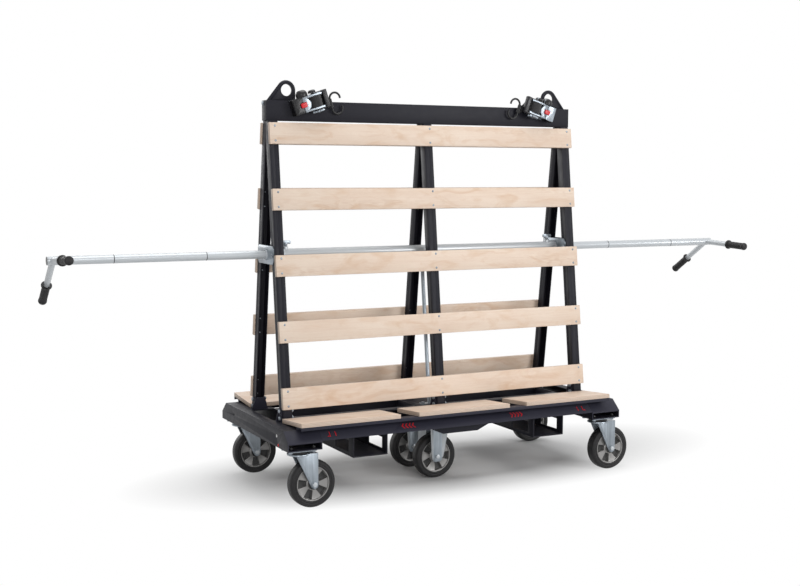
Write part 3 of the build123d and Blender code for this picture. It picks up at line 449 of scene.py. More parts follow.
class Finish:
    """A node material on the piece's own coordinates."""

    def __init__(self, name, colour, roughness, metallic=0.0):
        self.colour = colour
        self.material = bpy.data.materials.new("trolley_" + name)
        self.material.use_nodes = True
        self.tree = self.material.node_tree
        self.shader = self.tree.nodes["Principled BSDF"]
        self.set("Base Color", (*colour, 1))
        self.set("Roughness", roughness)
        self.set("Metallic", metallic)
        self.place = self.add("ShaderNodeTexCoord").outputs["Object"]

    def add(self, kind, **inputs):
        """Add a node and set its inputs, from values or from sockets."""
        node = self.tree.nodes.new(kind)
        for key, value in inputs.items():
            self.put(node.inputs[key.replace("_", " ")], value)
        return node

    def put(self, socket, value):
        """Set a socket, or link another one to it."""
        if isinstance(value, bpy.types.NodeSocket):
            self.tree.links.new(value, socket)
        else:
            socket.default_value = value

    def set(self, key, value):
        """Set or link an input of the shader."""
        self.put(self.shader.inputs[key], value)

    def attribute(self, name, output):
        """A value that is kept on the mesh."""
        node = self.add("ShaderNodeAttribute")
        node.attribute_name = name
        return node.outputs[output]

    def stretched(self, scale):
        """The coordinates, scaled."""
        return self.add("ShaderNodeMapping", Vector=self.place, Scale=scale).outputs["Vector"]

    def noise(self, scale, detail=3.0, vector=None, **more):
        """A noise value."""
        keys = {"Vector": vector or self.place, "Scale": scale, "Detail": detail}
        return self.add("ShaderNodeTexNoise", **keys, **more).outputs[0]

    def span(self, value, low, high, start, end):
        """A value moved from the range of start and end to that of low and high."""
        keys = {"Value": value, "From_Min": start, "From_Max": end, "To_Min": low, "To_Max": high}
        return self.add("ShaderNodeMapRange", **keys).outputs["Result"]

    def share(self, value, start, end, most=1.0):
        """How much of a layer shows: none while a value is below start, and the most past end."""
        return self.span(value, 0.0, most, start, end)

    def mix(self, factor, first, second):
        """Two colours mixed."""
        node = self.tree.nodes.new("ShaderNodeMix")
        node.data_type = "RGBA"
        for index, value in zip(mix_inputs, (factor, first, second)):
            self.put(node.inputs[index], value)
        return node.outputs[mix_output]

    def math(self, operation, first, second=0.0):
        """Two values calculated."""
        node = self.tree.nodes.new("ShaderNodeMath")
        node.operation = operation
        self.put(node.inputs[0], first)
        self.put(node.inputs[1], second)
        return node.outputs[0]

    def shade(self, value, dark, light, stops=cloud_range):
        """Vary the finish's colour from a dark to a light tint along a value."""
        node = self.add("ShaderNodeValToRGB", Fac=value)
        for point, place, amount in zip(node.color_ramp.elements, stops, (dark, light)):
            point.position = place
            point.color = (*tint(self.colour, amount), 1)
        self.set("Base Color", node.outputs["Color"])

    def roughen(self, value, low, high):
        """Vary the roughness along a noise value."""
        self.set("Roughness", self.span(value, low, high, *cloud_range))

    def bump(self, height, strength, distance):
        """Relief on the surface."""
        node = self.add("ShaderNodeBump", Height=height, Strength=strength, Distance=distance)
        self.set("Normal", node.outputs["Normal"])


def powder_coat(name, colour):
    """Satin powder coat with a fine orange peel."""
    made = Finish(name, colour, roughness=0.5)
    made.set("Specular IOR Level", 0.17)
    made.shade(made.noise(5.0, detail=4.0), dark=0.95, light=1.05)
    made.roughen(made.noise(40.0), low=0.44, high=0.52)
    made.bump(made.noise(1400.0, detail=2.0), strength=0.12, distance=0.0004)
    return made.material


def zinc_plate(name, colour, stretch, spread, patches, metallic):
    """Zinc plating with streaks and dull patches."""
    made = Finish(name, colour, roughness=0.32, metallic=metallic)
    streak = made.noise(1.0, detail=4.0, vector=made.stretched(stretch))
    cloud = made.noise(patches)
    both = made.math("ADD", made.math("MULTIPLY", streak, 0.5), made.math("MULTIPLY", cloud, 0.5))
    made.shade(both, dark=1 - spread, light=1 + spread, stops=(0.35, 0.65))
    made.roughen(cloud, low=0.28, high=0.36)
    return made.material


def cast_alloy(colour):
    """Die-cast metal with a fine grain."""
    made = Finish("cast_alloy", colour, roughness=0.38, metallic=0.6)
    made.shade(made.noise(30.0, detail=4.0), dark=0.9, light=1.08)
    made.roughen(made.noise(200.0), low=0.3, high=0.46)
    made.bump(made.noise(900.0), strength=0.12, distance=0.0005)
    return made.material


def soft_rubber(name, colour):
    """Dull rubber, a little dusty."""
    made = Finish(name, colour, roughness=0.5)
    made.set("Specular IOR Level", 0.3)
    made.shade(made.noise(18.0, detail=5.0), dark=1.0, light=1.5, stops=(0.35, 0.75))
    made.roughen(made.noise(60.0), low=0.4, high=0.56)
    made.bump(made.noise(1100.0), strength=0.25, distance=0.0005)
    return made.material


def moulded(name, colour, roughness):
    """Moulded plastic or smooth coating with a fine grain."""
    made = Finish(name, colour, roughness)
    made.set("Specular IOR Level", 0.34)
    made.shade(made.noise(22.0), dark=0.9, light=1.12)
    made.roughen(made.noise(90.0), low=roughness - 0.06, high=roughness + 0.06)
    made.bump(made.noise(1800.0, detail=2.0), strength=0.14, distance=0.0004)
    return made.material


warp_reach = 2.2
ring_turns = 46.0
flame_strength = 0.6
layer_pitch = 0.0052


def plywood(face, figure, warm):
    """Pale plywood on each board's own coordinates: figured faces and layered edges."""
    made = Finish("plywood", face, roughness=0.5)
    made.place = made.attribute("board_place", "Vector")

    # Flame figure: bands of a noise that is warped along the board, in some places only.
    slow = made.stretched((1.3, 9.0, 9.0))
    warp = made.noise(1.6, vector=slow)
    shift = made.add("ShaderNodeCombineXYZ", Y=made.math("MULTIPLY", warp, warp_reach))
    wander = made.add("ShaderNodeVectorMath")
    wander.operation = "ADD"
    made.put(wander.inputs[0], slow)
    made.put(wander.inputs[1], shift.outputs["Vector"])
    rings = made.noise(3.4, detail=2.0, vector=wander.outputs["Vector"])
    waves = made.math("SINE", made.math("MULTIPLY", rings, ring_turns))
    places = made.noise(1.1, detail=2.0, vector=slow)
    flame = made.math("MULTIPLY", made.share(waves, 0.1, 1.0), made.share(places, 0.45, 0.7))

    # Faces: clouds, fibres, the flame, warm curls and pores, one over the other.
    cloud = made.noise(3.0, vector=made.stretched((1.0, 4.0, 4.0)))
    plain = made.mix(made.share(cloud, 0.35, 0.7, most=0.5), (*face, 1), (*figure, 1))
    fibres = made.noise(1.0, vector=made.stretched((7.0, 170.0, 170.0)))
    lined = made.mix(made.share(fibres, 0.45, 0.7, most=0.3), plain, (*figure, 1))
    flamed = made.math("MULTIPLY", flame, flame_strength)
    grained = made.mix(flamed, lined, (*tint(figure, 0.95), 1))
    curls = made.noise(8.0, detail=5.0, vector=made.stretched((0.8, 2.2, 2.2)), Distortion=1.4)
    warmed = made.mix(made.share(curls, 0.5, 0.75, most=0.6), grained, (*warm, 1))
    pores = made.noise(1.0, detail=2.0, vector=made.stretched((90.0, 1500.0, 1500.0)))
    streaked = made.mix(made.share(pores, 0.52, 0.75, most=0.25), warmed, (*tint(figure, 0.8), 1))

    # Edges: the layers, with rough cut ends.
    height = made.add("ShaderNodeSeparateXYZ", Vector=made.place).outputs["Z"]
    stripe = made.math("SINE", made.math("MULTIPLY", height, 2 * pi / layer_pitch))
    layers = made.share(stripe, -0.35, 0.35)
    core = made.mix(layers, (*tint(face, 0.92), 1), (*tint(figure, 0.72), 1))
    rough_end = made.noise(1.0, detail=2.0, vector=made.stretched((260.0, 260.0, 900.0)))
    cut = made.mix(made.share(rough_end, 0.4, 0.7, most=0.35), core, (*tint(figure, 0.6), 1))

    made.set("Base Color", made.mix(made.attribute("board_edge", "Fac"), streaked, cut))
    made.roughen(pores, low=0.42, high=0.6)
    made.bump(pores, strength=0.1, distance=0.0005)
    return made.material


weave_pitch = 0.0021
rib_width = 0.0032


def woven(colour):
    """Strap webbing: ribs along the band crossed by a fine weave, on the band's own coordinates."""
    made = Finish("woven_strap", colour, roughness=0.8)
    parts = made.add("ShaderNodeSeparateXYZ", Vector=made.attribute("band_place", "Vector"))
    along = made.math("MULTIPLY", parts.outputs["X"], 2 * pi / weave_pitch)
    across = made.math("MULTIPLY", parts.outputs["Y"], 2 * pi / rib_width)
    ribs = made.math("ABSOLUTE", made.math("SINE", across))
    crossing = made.span(made.math("SINE", along), low=0.55, high=1.0, start=-1.0, end=1.0)
    weave = made.math("MULTIPLY", ribs, crossing)
    made.shade(weave, dark=0.5, light=2.0, stops=(0.0, 0.9))
    made.set("Sheen Weight", 0.25)
    made.set("Sheen Roughness", 0.5)
    made.bump(weave, strength=0.6, distance=0.0006)
    return made.material


# Painted shade: the dark grey of the rim's window pocket floors stands for the shade inside the
# pockets.
pocket_shade_colour = (0.05, 0.05, 0.05)
plug_colour = (0.78, 0.78, 0.76)


def finishes():
    """All finishes, made at the first call, which comes before the floor's finish."""
    colours = bpy.context.scene.trolley_finishes
    ready = [item for item in bpy.data.materials if item.name.startswith("trolley_")]
    made = ready or [
        powder_coat("powder_coat", colours.steel),
        # A lighter copy of the frame's coat: painted light on the side rails, the foot brackets and
        # the end channels' faces in the rails' line.
        powder_coat("rail_coat", tint(colours.steel, 2.3)),
        powder_coat("panel_coat", tint(colours.steel, 2.5)),
        zinc_plate(
            "zinc_plate", colours.zinc, stretch=(110.0, 110.0, 5.0),
            spread=0.3, patches=9.0, metallic=0.6,
        ),
        zinc_plate(
            "tube_zinc", colours.tube, stretch=(3.0, 12.0, 12.0),
            spread=0.05, patches=1.2, metallic=0.22,
        ),
        cast_alloy(colours.alloy),
        soft_rubber("tyre_rubber", colours.rubber),
        soft_rubber("grip_rubber", tint(colours.rubber, 0.8)),
        moulded("black_plastic", colours.plastic, roughness=0.3),
        moulded("red_plastic", colours.red, roughness=0.32),
        moulded("black_coating", tint(colours.plastic, 0.9), roughness=0.36),
        moulded("black_lever", tint(colours.plastic, 1.6), roughness=0.32),
        moulded("red_paint", tint(colours.red, 0.8), roughness=0.5),
        # Painted shade for the floors of the rim's window pockets.
        moulded("pocket_grey", pocket_shade_colour, roughness=0.6),
        moulded("pale_plug", plug_colour, roughness=0.5),
        plywood(colours.wood, colours.figure, colours.warm),
        woven(colours.webbing),
    ]
    return {item.name.removeprefix("trolley_"): item for item in made}


# The floor is grey near the trolley and fades to white round an ellipse.
floor_size = 60
floor_grey = (0.69, 0.69, 0.69)
fade_middle = (0.176, 0.137)
fade_reach = (1.967, 0.825)
fade_start, fade_end = 0.382, 0.789
white = (1, 1, 1, 1)

# Each lamp's place, size and power.
lamps = {
    "key_softbox": ((3.8, -6.0, 2.6), 3.6, 222),
    "fill_softbox": ((-3.0, -6.2, 2.4), 3.4, 98),
    "top_softbox": ((0.2, 0.3, 5.2), 4.0, 145),
    "back_softbox": ((-1.0, 6.4, 2.6), 3.6, 85),
}
lamp_aim = Vector((0, 0, 0.8))
film_width = 36


def seen_rays(tree):
    """A value of 1 for rays from the camera, from gloss and through glass."""
    rays = tree.nodes.new("ShaderNodeLightPath")
    seen = rays.outputs["Is Camera Ray"]
    for ray in ("Is Glossy Ray", "Is Transmission Ray"):
        either = tree.nodes.new("ShaderNodeMath")
        either.operation = "MAXIMUM"
        tree.links.new(seen, either.inputs[0])
        tree.links.new(rays.outputs[ray], either.inputs[1])
        seen = either.outputs[0]
    return seen


def add_floor():
    """Add the pale floor, which keeps the trolley's shadow."""
    deselect()
    bpy.ops.mesh.primitive_plane_add(size=floor_size)
    floor = bpy.context.object
    floor.name = "studio_floor"
    made = Finish("studio_floor", floor_grey, roughness=0.9)
    made.set("Specular IOR Level", 0.0)
    parts = made.add("ShaderNodeSeparateXYZ", Vector=made.place)
    squares = []
    for axis, middle, reach in zip("XY", fade_middle, fade_reach):
        off = made.math("SUBTRACT", parts.outputs[axis], middle)
        squares.append(made.math("POWER", made.math("DIVIDE", off, reach), 2.0))
    away = made.math("SQRT", made.math("ADD", *squares))
    fade = made.share(away, fade_start, fade_end)
    glow = made.add("ShaderNodeEmission", Color=white, Strength=1.0)
    both = made.add("ShaderNodeMixShader", Fac=made.math("MULTIPLY", fade, seen_rays(made.tree)))
    made.put(both.inputs[1], made.shader.outputs[0])
    made.put(both.inputs[2], glow.outputs[0])
    made.put(made.tree.nodes["Material Output"].inputs["Surface"], both.outputs[0])
    floor.data.materials.append(made.material)


def add_light(ambient):
    """Add a world that is seen as white and lights softly, and the lamps."""
    world = bpy.data.worlds.new("studio")
    bpy.context.scene.world = world
    world.use_nodes = True
    tree = world.node_tree
    background = tree.nodes["Background"]
    background.inputs["Color"].default_value = white
    level = tree.nodes.new("ShaderNodeMapRange")
    level.inputs["To Min"].default_value = ambient
    level.inputs["To Max"].default_value = 1.0
    tree.links.new(seen_rays(tree), level.inputs["Value"])
    tree.links.new(level.outputs["Result"], background.inputs["Strength"])
    for name, (place, size, power) in lamps.items():
        deselect()
        bpy.ops.object.light_add(type="AREA", location=place)
        lamp = bpy.context.object
        lamp.name = name
        lamp.data.shape = "DISK"
        lamp.data.size = size
        lamp.data.energy = power
        aim = lamp_aim - Vector(place)
        lamp.rotation_euler = aim.to_track_quat("-Z", "Y").to_euler()


def add_camera(settings):
    """Add the camera where the photograph was taken from."""
    yaw, pitch, roll = radians(settings.yaw), radians(settings.pitch), radians(settings.roll)
    forward = Vector((sin(yaw) * cos(pitch), cos(yaw) * cos(pitch), -sin(pitch)))
    level_right = Vector((cos(yaw), -sin(yaw), 0))
    level_down = forward.cross(level_right)
    right = cos(roll) * level_right + sin(roll) * level_down
    down = cos(roll) * level_down - sin(roll) * level_right
    deselect()
    bpy.ops.object.camera_add(location=settings.place)
    camera = bpy.context.object
    camera.name = "photograph_camera"
    camera.data.lens = settings.lens
    camera.data.sensor_fit = "HORIZONTAL"
    camera.data.sensor_width = film_width
    turn = Matrix((right, -down, -forward)).transposed()
    camera.matrix_world = Matrix.Translation(settings.place) @ turn.to_4x4()
    bpy.context.scene.camera = camera


class TROLLEY_OT_stage(bpy.types.Operator):
    """Add the floor, the light and the camera"""

    bl_idname = "trolley.stage"
    bl_label = "Stage"

    def execute(self, context):
        settings = context.scene.trolley_stage
        finishes()
        add_floor()
        add_light(settings.ambient)
        add_camera(settings)
        context.scene.view_settings.view_transform = "Standard"
        return {"FINISHED"}


rail_line_end = 0.78
rail_line_start = 0.335


def in_lit_rail_line(place):
    """Whether a face of an end channel carries on the line of the side rails, where it gets their
    lighter coat as painted light.
    """
    return abs(place.x) < rail_line_end and abs(place.y) > rail_line_start


class TROLLEY_OT_frame_steel(bpy.types.Operator):
    """Round the edges of the coated steel and give it its finish"""

    bl_idname = "trolley.frame_steel"
    bl_label = "Coated steel"

    def execute(self, context):
        width = context.scene.trolley_sizes.edge
        ready = finishes()
        for node in (
            "left_end_channel", "right_end_channel", "mid_cross_member", "side_rails",
            "inner_beams", "fork_pockets", "front_posts", "rear_posts", "top_beam",
            "lifting_eyes", "foot_brackets",
        ):
            # The side rails and foot brackets take the lighter coat, which is painted light.
            coat = ready["rail_coat" if node in ("side_rails", "foot_brackets") else "powder_coat"]
            made = soften(node, width)
            if node.endswith("end_channel"):
                paint_faces(made, coat, (ready["rail_coat"], in_lit_rail_line))
            stand_for(node, made, coat)
        return {"FINISHED"}


def rail_frame(side):
    """Matrix of a rail's sloped face: X along the rail, Y out of it, Z up the slope."""
    foot, head = rail_foot * Vector((1, side, 1)), rail_head * Vector((1, side, 1))
    up = (head - foot).normalized()
    along = Vector((1, 0, 0))
    out = up.cross(along)
    return Matrix.Translation(foot) @ Matrix((along, -out, up)).transposed().to_4x4()


panel_line = ((-0.345, 0.010), (0.345, 0.010), (0.294, 0.050), (-0.294, 0.050))
panel_rounding = tuple((corner, 0.006) for corner in range(4))
panel_sheet = 0.0014
panel_edge = 0.0005
chevron_line = (
    (0.0, 0.0125), (0.009, 0.0), (0.0152, 0.0), (0.0062, 0.0125), (0.0152, 0.025), (0.009, 0.025),
)
chevron_tips = {-1: 0.2963, 1: 0.3063}
chevron_count = 4
chevron_pitch = 0.0163
chevron_foot = 0.0195
stroke_line = ((0.0, 0.0), (0.0036, 0.0), (0.0036, 0.024), (0.0, 0.024))
stroke_start = 0.600
bent_line = (
    (0.0, 0.0), (0.013, 0.0), (0.013, 0.0036), (0.0036, 0.0036), (0.0036, 0.024), (0.0, 0.024),
)
bent_start = 0.626
mark_foot = 0.018
mark_sheet = 0.0020


class TROLLEY_OT_rail_marks(bpy.types.Operator):
    """Add the flat panel and the red marks of the side rails"""

    bl_idname = "trolley.rail_marks"
    bl_label = "Rail marks"

    def execute(self, context):
        ready = finishes()
        outlines = []
        for end, tip in chevron_tips.items():
            for index in range(chevron_count):
                near = tip - chevron_pitch * index
                outlines.append([(end * (near - x), z + chevron_foot) for x, z in chevron_line])
            for line, start in ((stroke_line, stroke_start), (bent_line, bent_start)):
                outlines.append([(end * (x + start), z + mark_foot) for x, z in line])
        for name, side in fronts.items():
            plate("panel", panel_line, panel_rounding)
            panel = rounded(thickened(leave(), panel_sheet), panel_edge)
            panel.name = f"{name}_rail_panel"
            turned_round(settle(panel, rail_frame(side)))
            hand_over(panel, "chassis", "anthracite_steel", ready["panel_coat"])
            marks = []
            for outline in outlines:
                plate("mark", outline)
                marks.append(thickened(leave(), mark_sheet))
            made = turned_round(settle(joined(f"{name}_rail_marks", marks), rail_frame(side)))
            hand_over(made, "chassis", "red_plastic", ready["red_paint"])
        return {"FINISHED"}


bolt_line = (
    (0.0, 0.0052), (0.0066, 0.0052), (0.0078, 0.0042), (0.0080, 0.0008), (0.0098, 0.0), (0.0, 0.0),
)
plug_line = ((0.0, 0.0020), (0.0030, 0.0018), (0.0050, 0.0010), (0.0062, 0.0), (0.0, 0.0))
# Each pair's name, section and steps, its place along, across and up, its slot and its finish.
small_pairs = (
    ("beam_end_bolts", bolt_line, 6, (beam_end, 0.012, 1.652), "zinc_steel", "zinc_plate"),
    ("pale_plugs", plug_line, 20, (channel_end, -0.269, 0.296), "black_plastic", "pale_plug"),
    ("red_plugs", plug_line, 20, (channel_end, -0.285, 0.260), "red_plastic", "red_paint"),
)


class TROLLEY_OT_small_marks(bpy.types.Operator):
    """Add the bolts on the beam's ends and the plugs in the end channels"""

    bl_idname = "trolley.small_marks"
    bl_label = "Small marks"

    def execute(self, context):
        ready = finishes()
        for name, line, steps, (x, y, z), slot, finish in small_pairs:
            pair = []
            for side in sides.values():
                pair.append(lathe("mark", line, (side * x, y, z), (side, 0, 0), steps))
            hand_over(joined(name, pair), "chassis", slot, ready[finish])
        return {"FINISHED"}


zinc_edge = 0.0007
castor_plate_edge = 0.0008
# Below this height the castor plates' race is painted black, partly as painted shade.
race_top = 0.2436
castor_bolt_start = 0.66
castor_bolt_low, castor_bolt_high = 0.2541, 0.275


def in_shaded_castor_bolt(place):
    """Whether a face of the frame bolts is on a castor bolt's middle inside an end channel, which
    is painted black as shade.
    """
    return abs(place.x) > castor_bolt_start and castor_bolt_low < place.z < castor_bolt_high


class TROLLEY_OT_zinc_parts(bpy.types.Operator):
    """Round the edges of the zinc-plated parts and give them their finish"""

    bl_idname = "trolley.zinc_parts"
    bl_label = "Zinc parts"

    def execute(self, context):
        ready = finishes()
        zinc, bright, black = ready["zinc_plate"], ready["tube_zinc"], ready["black_coating"]
        for node in ["guide_plates", "sleeve_stay"] + [f"{name}_clamp_screw" for name in sides]:
            stand_for(node, soften(node, zinc_edge), zinc)
        # The axles and the handle sleeve get the brighter tube plating; on the axle heads it is
        # partly a painted highlight.
        for node in ["mid_axles"] + [f"{name}_axle" for name in corner_pivots] + ["handle_sleeve"]:
            stand_for(node, soften(node, zinc_edge), bright)
        for name in sides:
            node = f"{name}_handle"
            made = soften(node, zinc_edge)
            paint_faces(made, bright, (black, lambda place: abs(place.x) > tube_end))
            stand_for(node, made, bright)
        for node, width, test in (
            # The race under each castor plate is painted black: partly its own dark colour, partly
            # painted shade in the gap under the plate.
            ("castor_plates", castor_plate_edge, lambda place: place.z < race_top),
            # The castor bolts' middles inside the end channels are painted black: painted shade.
            ("frame_bolts", zinc_edge, in_shaded_castor_bolt),
        ):
            made = soften(node, width)
            paint_faces(made, zinc, (black, test))
            stand_for(node, made, zinc)
        return {"FINISHED"}


# The boards differ by where each one lies in the wood's pattern.
pattern_slant = 0.31
flat_face = 0.8
deck_start = Vector((0.0, 0.188, 0.328))
deck_rise, deck_run = 17, 204
deck_tilt = atan(deck_rise / deck_run)
deck_places = (-0.5375, 0.0, 0.5375)
deck_edge = 0.0016
deck_step, deck_side_step = 2.1, 5.3
slat_tops = (1.57, 1.295, 1.02, 0.745, 0.47)
slat_edge = 0.0018
slat_step, slat_side_step = 3.7, 11.9


def plywood_board(name, size, edge, shift):
    """A board at the origin that keeps its own coordinates and has its cut edges marked."""
    made = block(name, size, edge)
    place = made.data.attributes.new("board_place", "FLOAT_VECTOR", "POINT")
    for index, vertex in enumerate(made.data.vertices):
        place.data[index].vector = vertex.co + Vector((shift, pattern_slant * shift, 0))
    cut = made.data.attributes.new("board_edge", "FLOAT", "FACE")
    for face in made.data.polygons:
        cut.data[face.index].value = 0.0 if abs(face.normal.z) > flat_face else 1.0
    return made


class TROLLEY_OT_deck(bpy.types.Operator):
    """Add the deck boards"""

    bl_idname = "trolley.deck"
    bl_label = "Deck boards"

    def execute(self, context):
        size = Vector(context.scene.trolley_sizes.board)
        boards = []
        for side in fronts.values():
            start = Matrix.Translation((0, side * deck_start.y, deck_start.z))
            turn = Matrix.Rotation(side * deck_tilt, 4, "X")
            for index, x in enumerate(deck_places):
                shift = deck_step * index + deck_side_step * side
                board = plywood_board("board", size, deck_edge, shift)
                middle = Matrix.Translation((x, side * size.y / 2, size.z / 2))
                boards.append(settle(board, start @ turn @ middle))
        made = joined("deck_boards_ply", boards)
        hand_over(made, "chassis", "plywood", finishes()["plywood"], "deck_boards", smooth=50)
        return {"FINISHED"}


def slope_frame(side):
    """Matrix of the leaning plane: X along the slats, Y up the slope, Z outwards."""
    along = Vector((-side, 0, 0))
    up = Vector((0, -side * lean, 1)) / slope_length
    out = Vector((0, side, lean)) / slope_length
    matrix = Matrix((along, up, out)).transposed().to_4x4()
    return Matrix.Translation((0, side * post_foot, 0)) @ matrix


def slat_middle(top, size):
    """How far up the slope the middle of a slat is."""
    return top * slope_length - size.y / 2


class TROLLEY_OT_slats(bpy.types.Operator):
    """Add the slats"""

    bl_idname = "trolley.slats"
    bl_label = "Slats"

    def execute(self, context):
        size = Vector(context.scene.trolley_sizes.slat)
        for name, side in fronts.items():
            slats = []
            for index, top in enumerate(slat_tops):
                shift = slat_step * index + slat_side_step * side
                slat = plywood_board("slat", size, slat_edge, shift)
                place = Matrix.Translation((0, slat_middle(top, size), size.z / 2))
                slats.append(settle(slat, slope_frame(side) @ place))
            made = joined(f"{name}_slats_ply", slats)
            hand_over(made, "chassis", "plywood", finishes()["plywood"], f"{name}_slats", smooth=50)
        return {"FINISHED"}


screw_line = (
    (0.0, 0.0025), (0.0018, 0.0024), (0.0034, 0.0019), (0.0045, 0.0010), (0.0050, 0.0),
    (0.0025, 0.0), (0.0025, -0.0265), (0.0, -0.0265),
)
screw_steps = 14
screw_spread = 0.062
post_places = (-0.735, 0.0, 0.735)


class TROLLEY_OT_slat_screws(bpy.types.Operator):
    """Add the domed slat screws"""

    bl_idname = "trolley.slat_screws"
    bl_label = "Slat screws"

    def execute(self, context):
        size = Vector(context.scene.trolley_sizes.slat)
        screw = lathe("screw", screw_line, axis=(0, 0, 1), steps=screw_steps)
        screws = []
        for side, top, x, step in product(fronts.values(), slat_tops, post_places, (-1, 1)):
            up = slat_middle(top, size) + step * screw_spread / 2
            place = slope_frame(side) @ Matrix.Translation((x, up, size.z))
            screws.append(copy_of(screw, "slat_screw", place))
        thrown_away(screw)
        made = joined("slat_screws_domed", screws)
        hand_over(made, "chassis", "zinc_steel", finishes()["zinc_plate"], "slat_screws")
        return {"FINISHED"}


# Radius and distance from the wheel's middle, for one half of each section.
tyre_half = (
    (0.0720, 0.0205), (0.0727, 0.0232), (0.0742, 0.0246), (0.0766, 0.0250), (0.0792, 0.0249),
    (0.0804, 0.0236), (0.0816, 0.0234), (0.0828, 0.0246), (0.0846, 0.0250), (0.0884, 0.0250),
    (0.0896, 0.0247), (0.0903, 0.0239), (0.0911, 0.0238), (0.0920, 0.0242), (0.0946, 0.0230),
    (0.0968, 0.0211), (0.0984, 0.0186), (0.0993, 0.0160), (0.0995, 0.0142), (0.0988, 0.0134),
    (0.0988, 0.0122), (0.0997, 0.0114), (0.1000, 0.0060), (0.1000, 0.0),
)
drawn_radius = 0.1
rim_half = (
    (0.0080, 0.0290), (0.0150, 0.0290), (0.0162, 0.0280), (0.0172, 0.0290), (0.0214, 0.0290),
    (0.0230, 0.0272), (0.0230, 0.0175), (0.0262, 0.0140), (0.0640, 0.0165), (0.0662, 0.0172),
    (0.0674, 0.0196), (0.0684, 0.0216), (0.0698, 0.0222), (0.0720, 0.0222),
)
wheel_steps = 80
window_count = 5
window_size = (0.0375, 0.030, 0.038)
window_edge = 0.003
window_narrow = 0.62
window_middle = 0.0463
pocket_floor = 0.0015
pocket_shade_depth = 0.0030
rim_edge = 0.0008
rim_angle = 50
cap_start = 0.0275


def rim_windows():
    """The blocks that cut the rim's windows from both sides, down to a thin floor."""
    windows = []
    for index, side in product(range(window_count), (-1, 1)):
        window = block("window", window_size, window_edge)
        take(window)
        edit()
        pick("VERT", lambda vertex: vertex.co.x < 0)
        bpy.ops.transform.resize(value=(1, 1, window_narrow))
        window = leave()
        turn = Matrix.Rotation(-index * 2 * pi / window_count, 4, "Y")
        depth = side * (window_size[1] / 2 + pocket_floor)
        windows.append(settle(window, turn @ Matrix.Translation((window_middle, depth, 0))))
    return joined("windows", windows)


class TROLLEY_OT_wheels(bpy.types.Operator):
    """Add the tyres and the rims with their windows"""

    bl_idname = "trolley.wheels"
    bl_label = "Wheels"

    def execute(self, context):
        ready = finishes()
        grow = context.scene.trolley_sizes.tyre_radius / drawn_radius
        half = [(radius * grow, height) for radius, height in tyre_half]
        tyre_line = [(radius, -height) for radius, height in half] + half[-2::-1]
        tyre = lathe("tyre", tyre_line, steps=wheel_steps, closed=True)
        rim_line = [(radius, -height) for radius, height in rim_half] + [*rim_half[::-1]]
        rim = lathe("rim", rim_line, steps=wheel_steps, closed=True)
        cutter = rim_windows()
        modify(rim, "BOOLEAN", object=cutter, operation="DIFFERENCE", solver="EXACT")
        thrown_away(cutter)
        rounded(rim, rim_edge, rim_angle, segments=1)
        # The hub's ends get the black plastic, and the pocket floors a dark grey that is painted
        # shade.
        paint_faces(
            rim, ready["cast_alloy"],
            (ready["black_plastic"], lambda place: abs(place.y) > cap_start),
            (ready["pocket_grey"], lambda place: abs(place.y) < pocket_shade_depth),
        )
        places = {name: (x + castor_trail, y) for name, (x, y) in corner_pivots.items()}
        places |= mid_pivots
        for name, (x, y) in places.items():
            body = f"{name}_wheel"
            turn = Matrix.Rotation(-radians(window_turns[name]), 4, "Y")
            place = Matrix.Translation((x, y, axle_height)) @ turn
            made = copy_of(tyre, f"{name}_tyre_ring", place)
            hand_over(made, body, "tyre_rubber", ready["tyre_rubber"], f"{name}_tyre", smooth=40)
            made = copy_of(rim, f"{name}_rim_casting", place)
            hand_over(made, body, "rim_alloy", ready["cast_alloy"], f"{name}_rim", smooth=32)
        thrown_away(tyre, rim)
        return {"FINISHED"}


cheek_line = ((-0.024, 0.230), (0.072, 0.230), (0.072, 0.082), (0.047, 0.082))
cheek_rounding = ((2, 0.015), (3, 0.012), (0, 0.002))
cheek_sheet = 0.0055
cheek_edge = 0.0012
fork_middle = 0.034
# Each crease starts at a point, runs across a way, and pushes what lies beyond it.
front_edge = Vector((-0.148, 0.0, -0.071)).normalized()
creases = (
    (Vector((0.0365, 0.0, 0.1)), Vector((-1.0, 0.0, 0.0)), -0.003),
    (Vector((0.047, 0.0, 0.082)) - 0.0095 * front_edge, front_edge, 0.0075),
)
crease_width = 0.007
crease_gap = 0.0002
head_size = (0.096, 0.070, 0.007)
head_edge = 0.002
head_place = (0.026, 0, 0.2260)
crown_line = (
    (0.0090, 0.2222), (0.0440, 0.2222), (0.0472, 0.2232), (0.0480, 0.2260), (0.0472, 0.2288),
    (0.0440, 0.2298), (0.0090, 0.2298),
)
crown_steps = 56
washer_line = ((0.0070, 0.0), (0.0130, 0.0), (0.0134, 0.0006), (0.0130, 0.0014), (0.0070, 0.0014))
washer_start = 0.0368
washer_steps = 32
mid_fork_edge = 0.0022
# Past this distance from the fork's middle the flanges are painted brighter, as painted light.
lit_flange_start = 0.0225


def crease(start, way, push):
    """Crease the edited sheet along a line and push what lies beyond it across the sheet."""
    for step in (0.0, crease_width):
        bpy.ops.mesh.select_all(action="SELECT")
        bpy.ops.mesh.bisect(plane_co=start + step * way, plane_no=way)
    pick("VERT", lambda vertex: (vertex.co - start).dot(way) > crease_gap)
    bpy.ops.transform.translate(value=(0, push, 0))


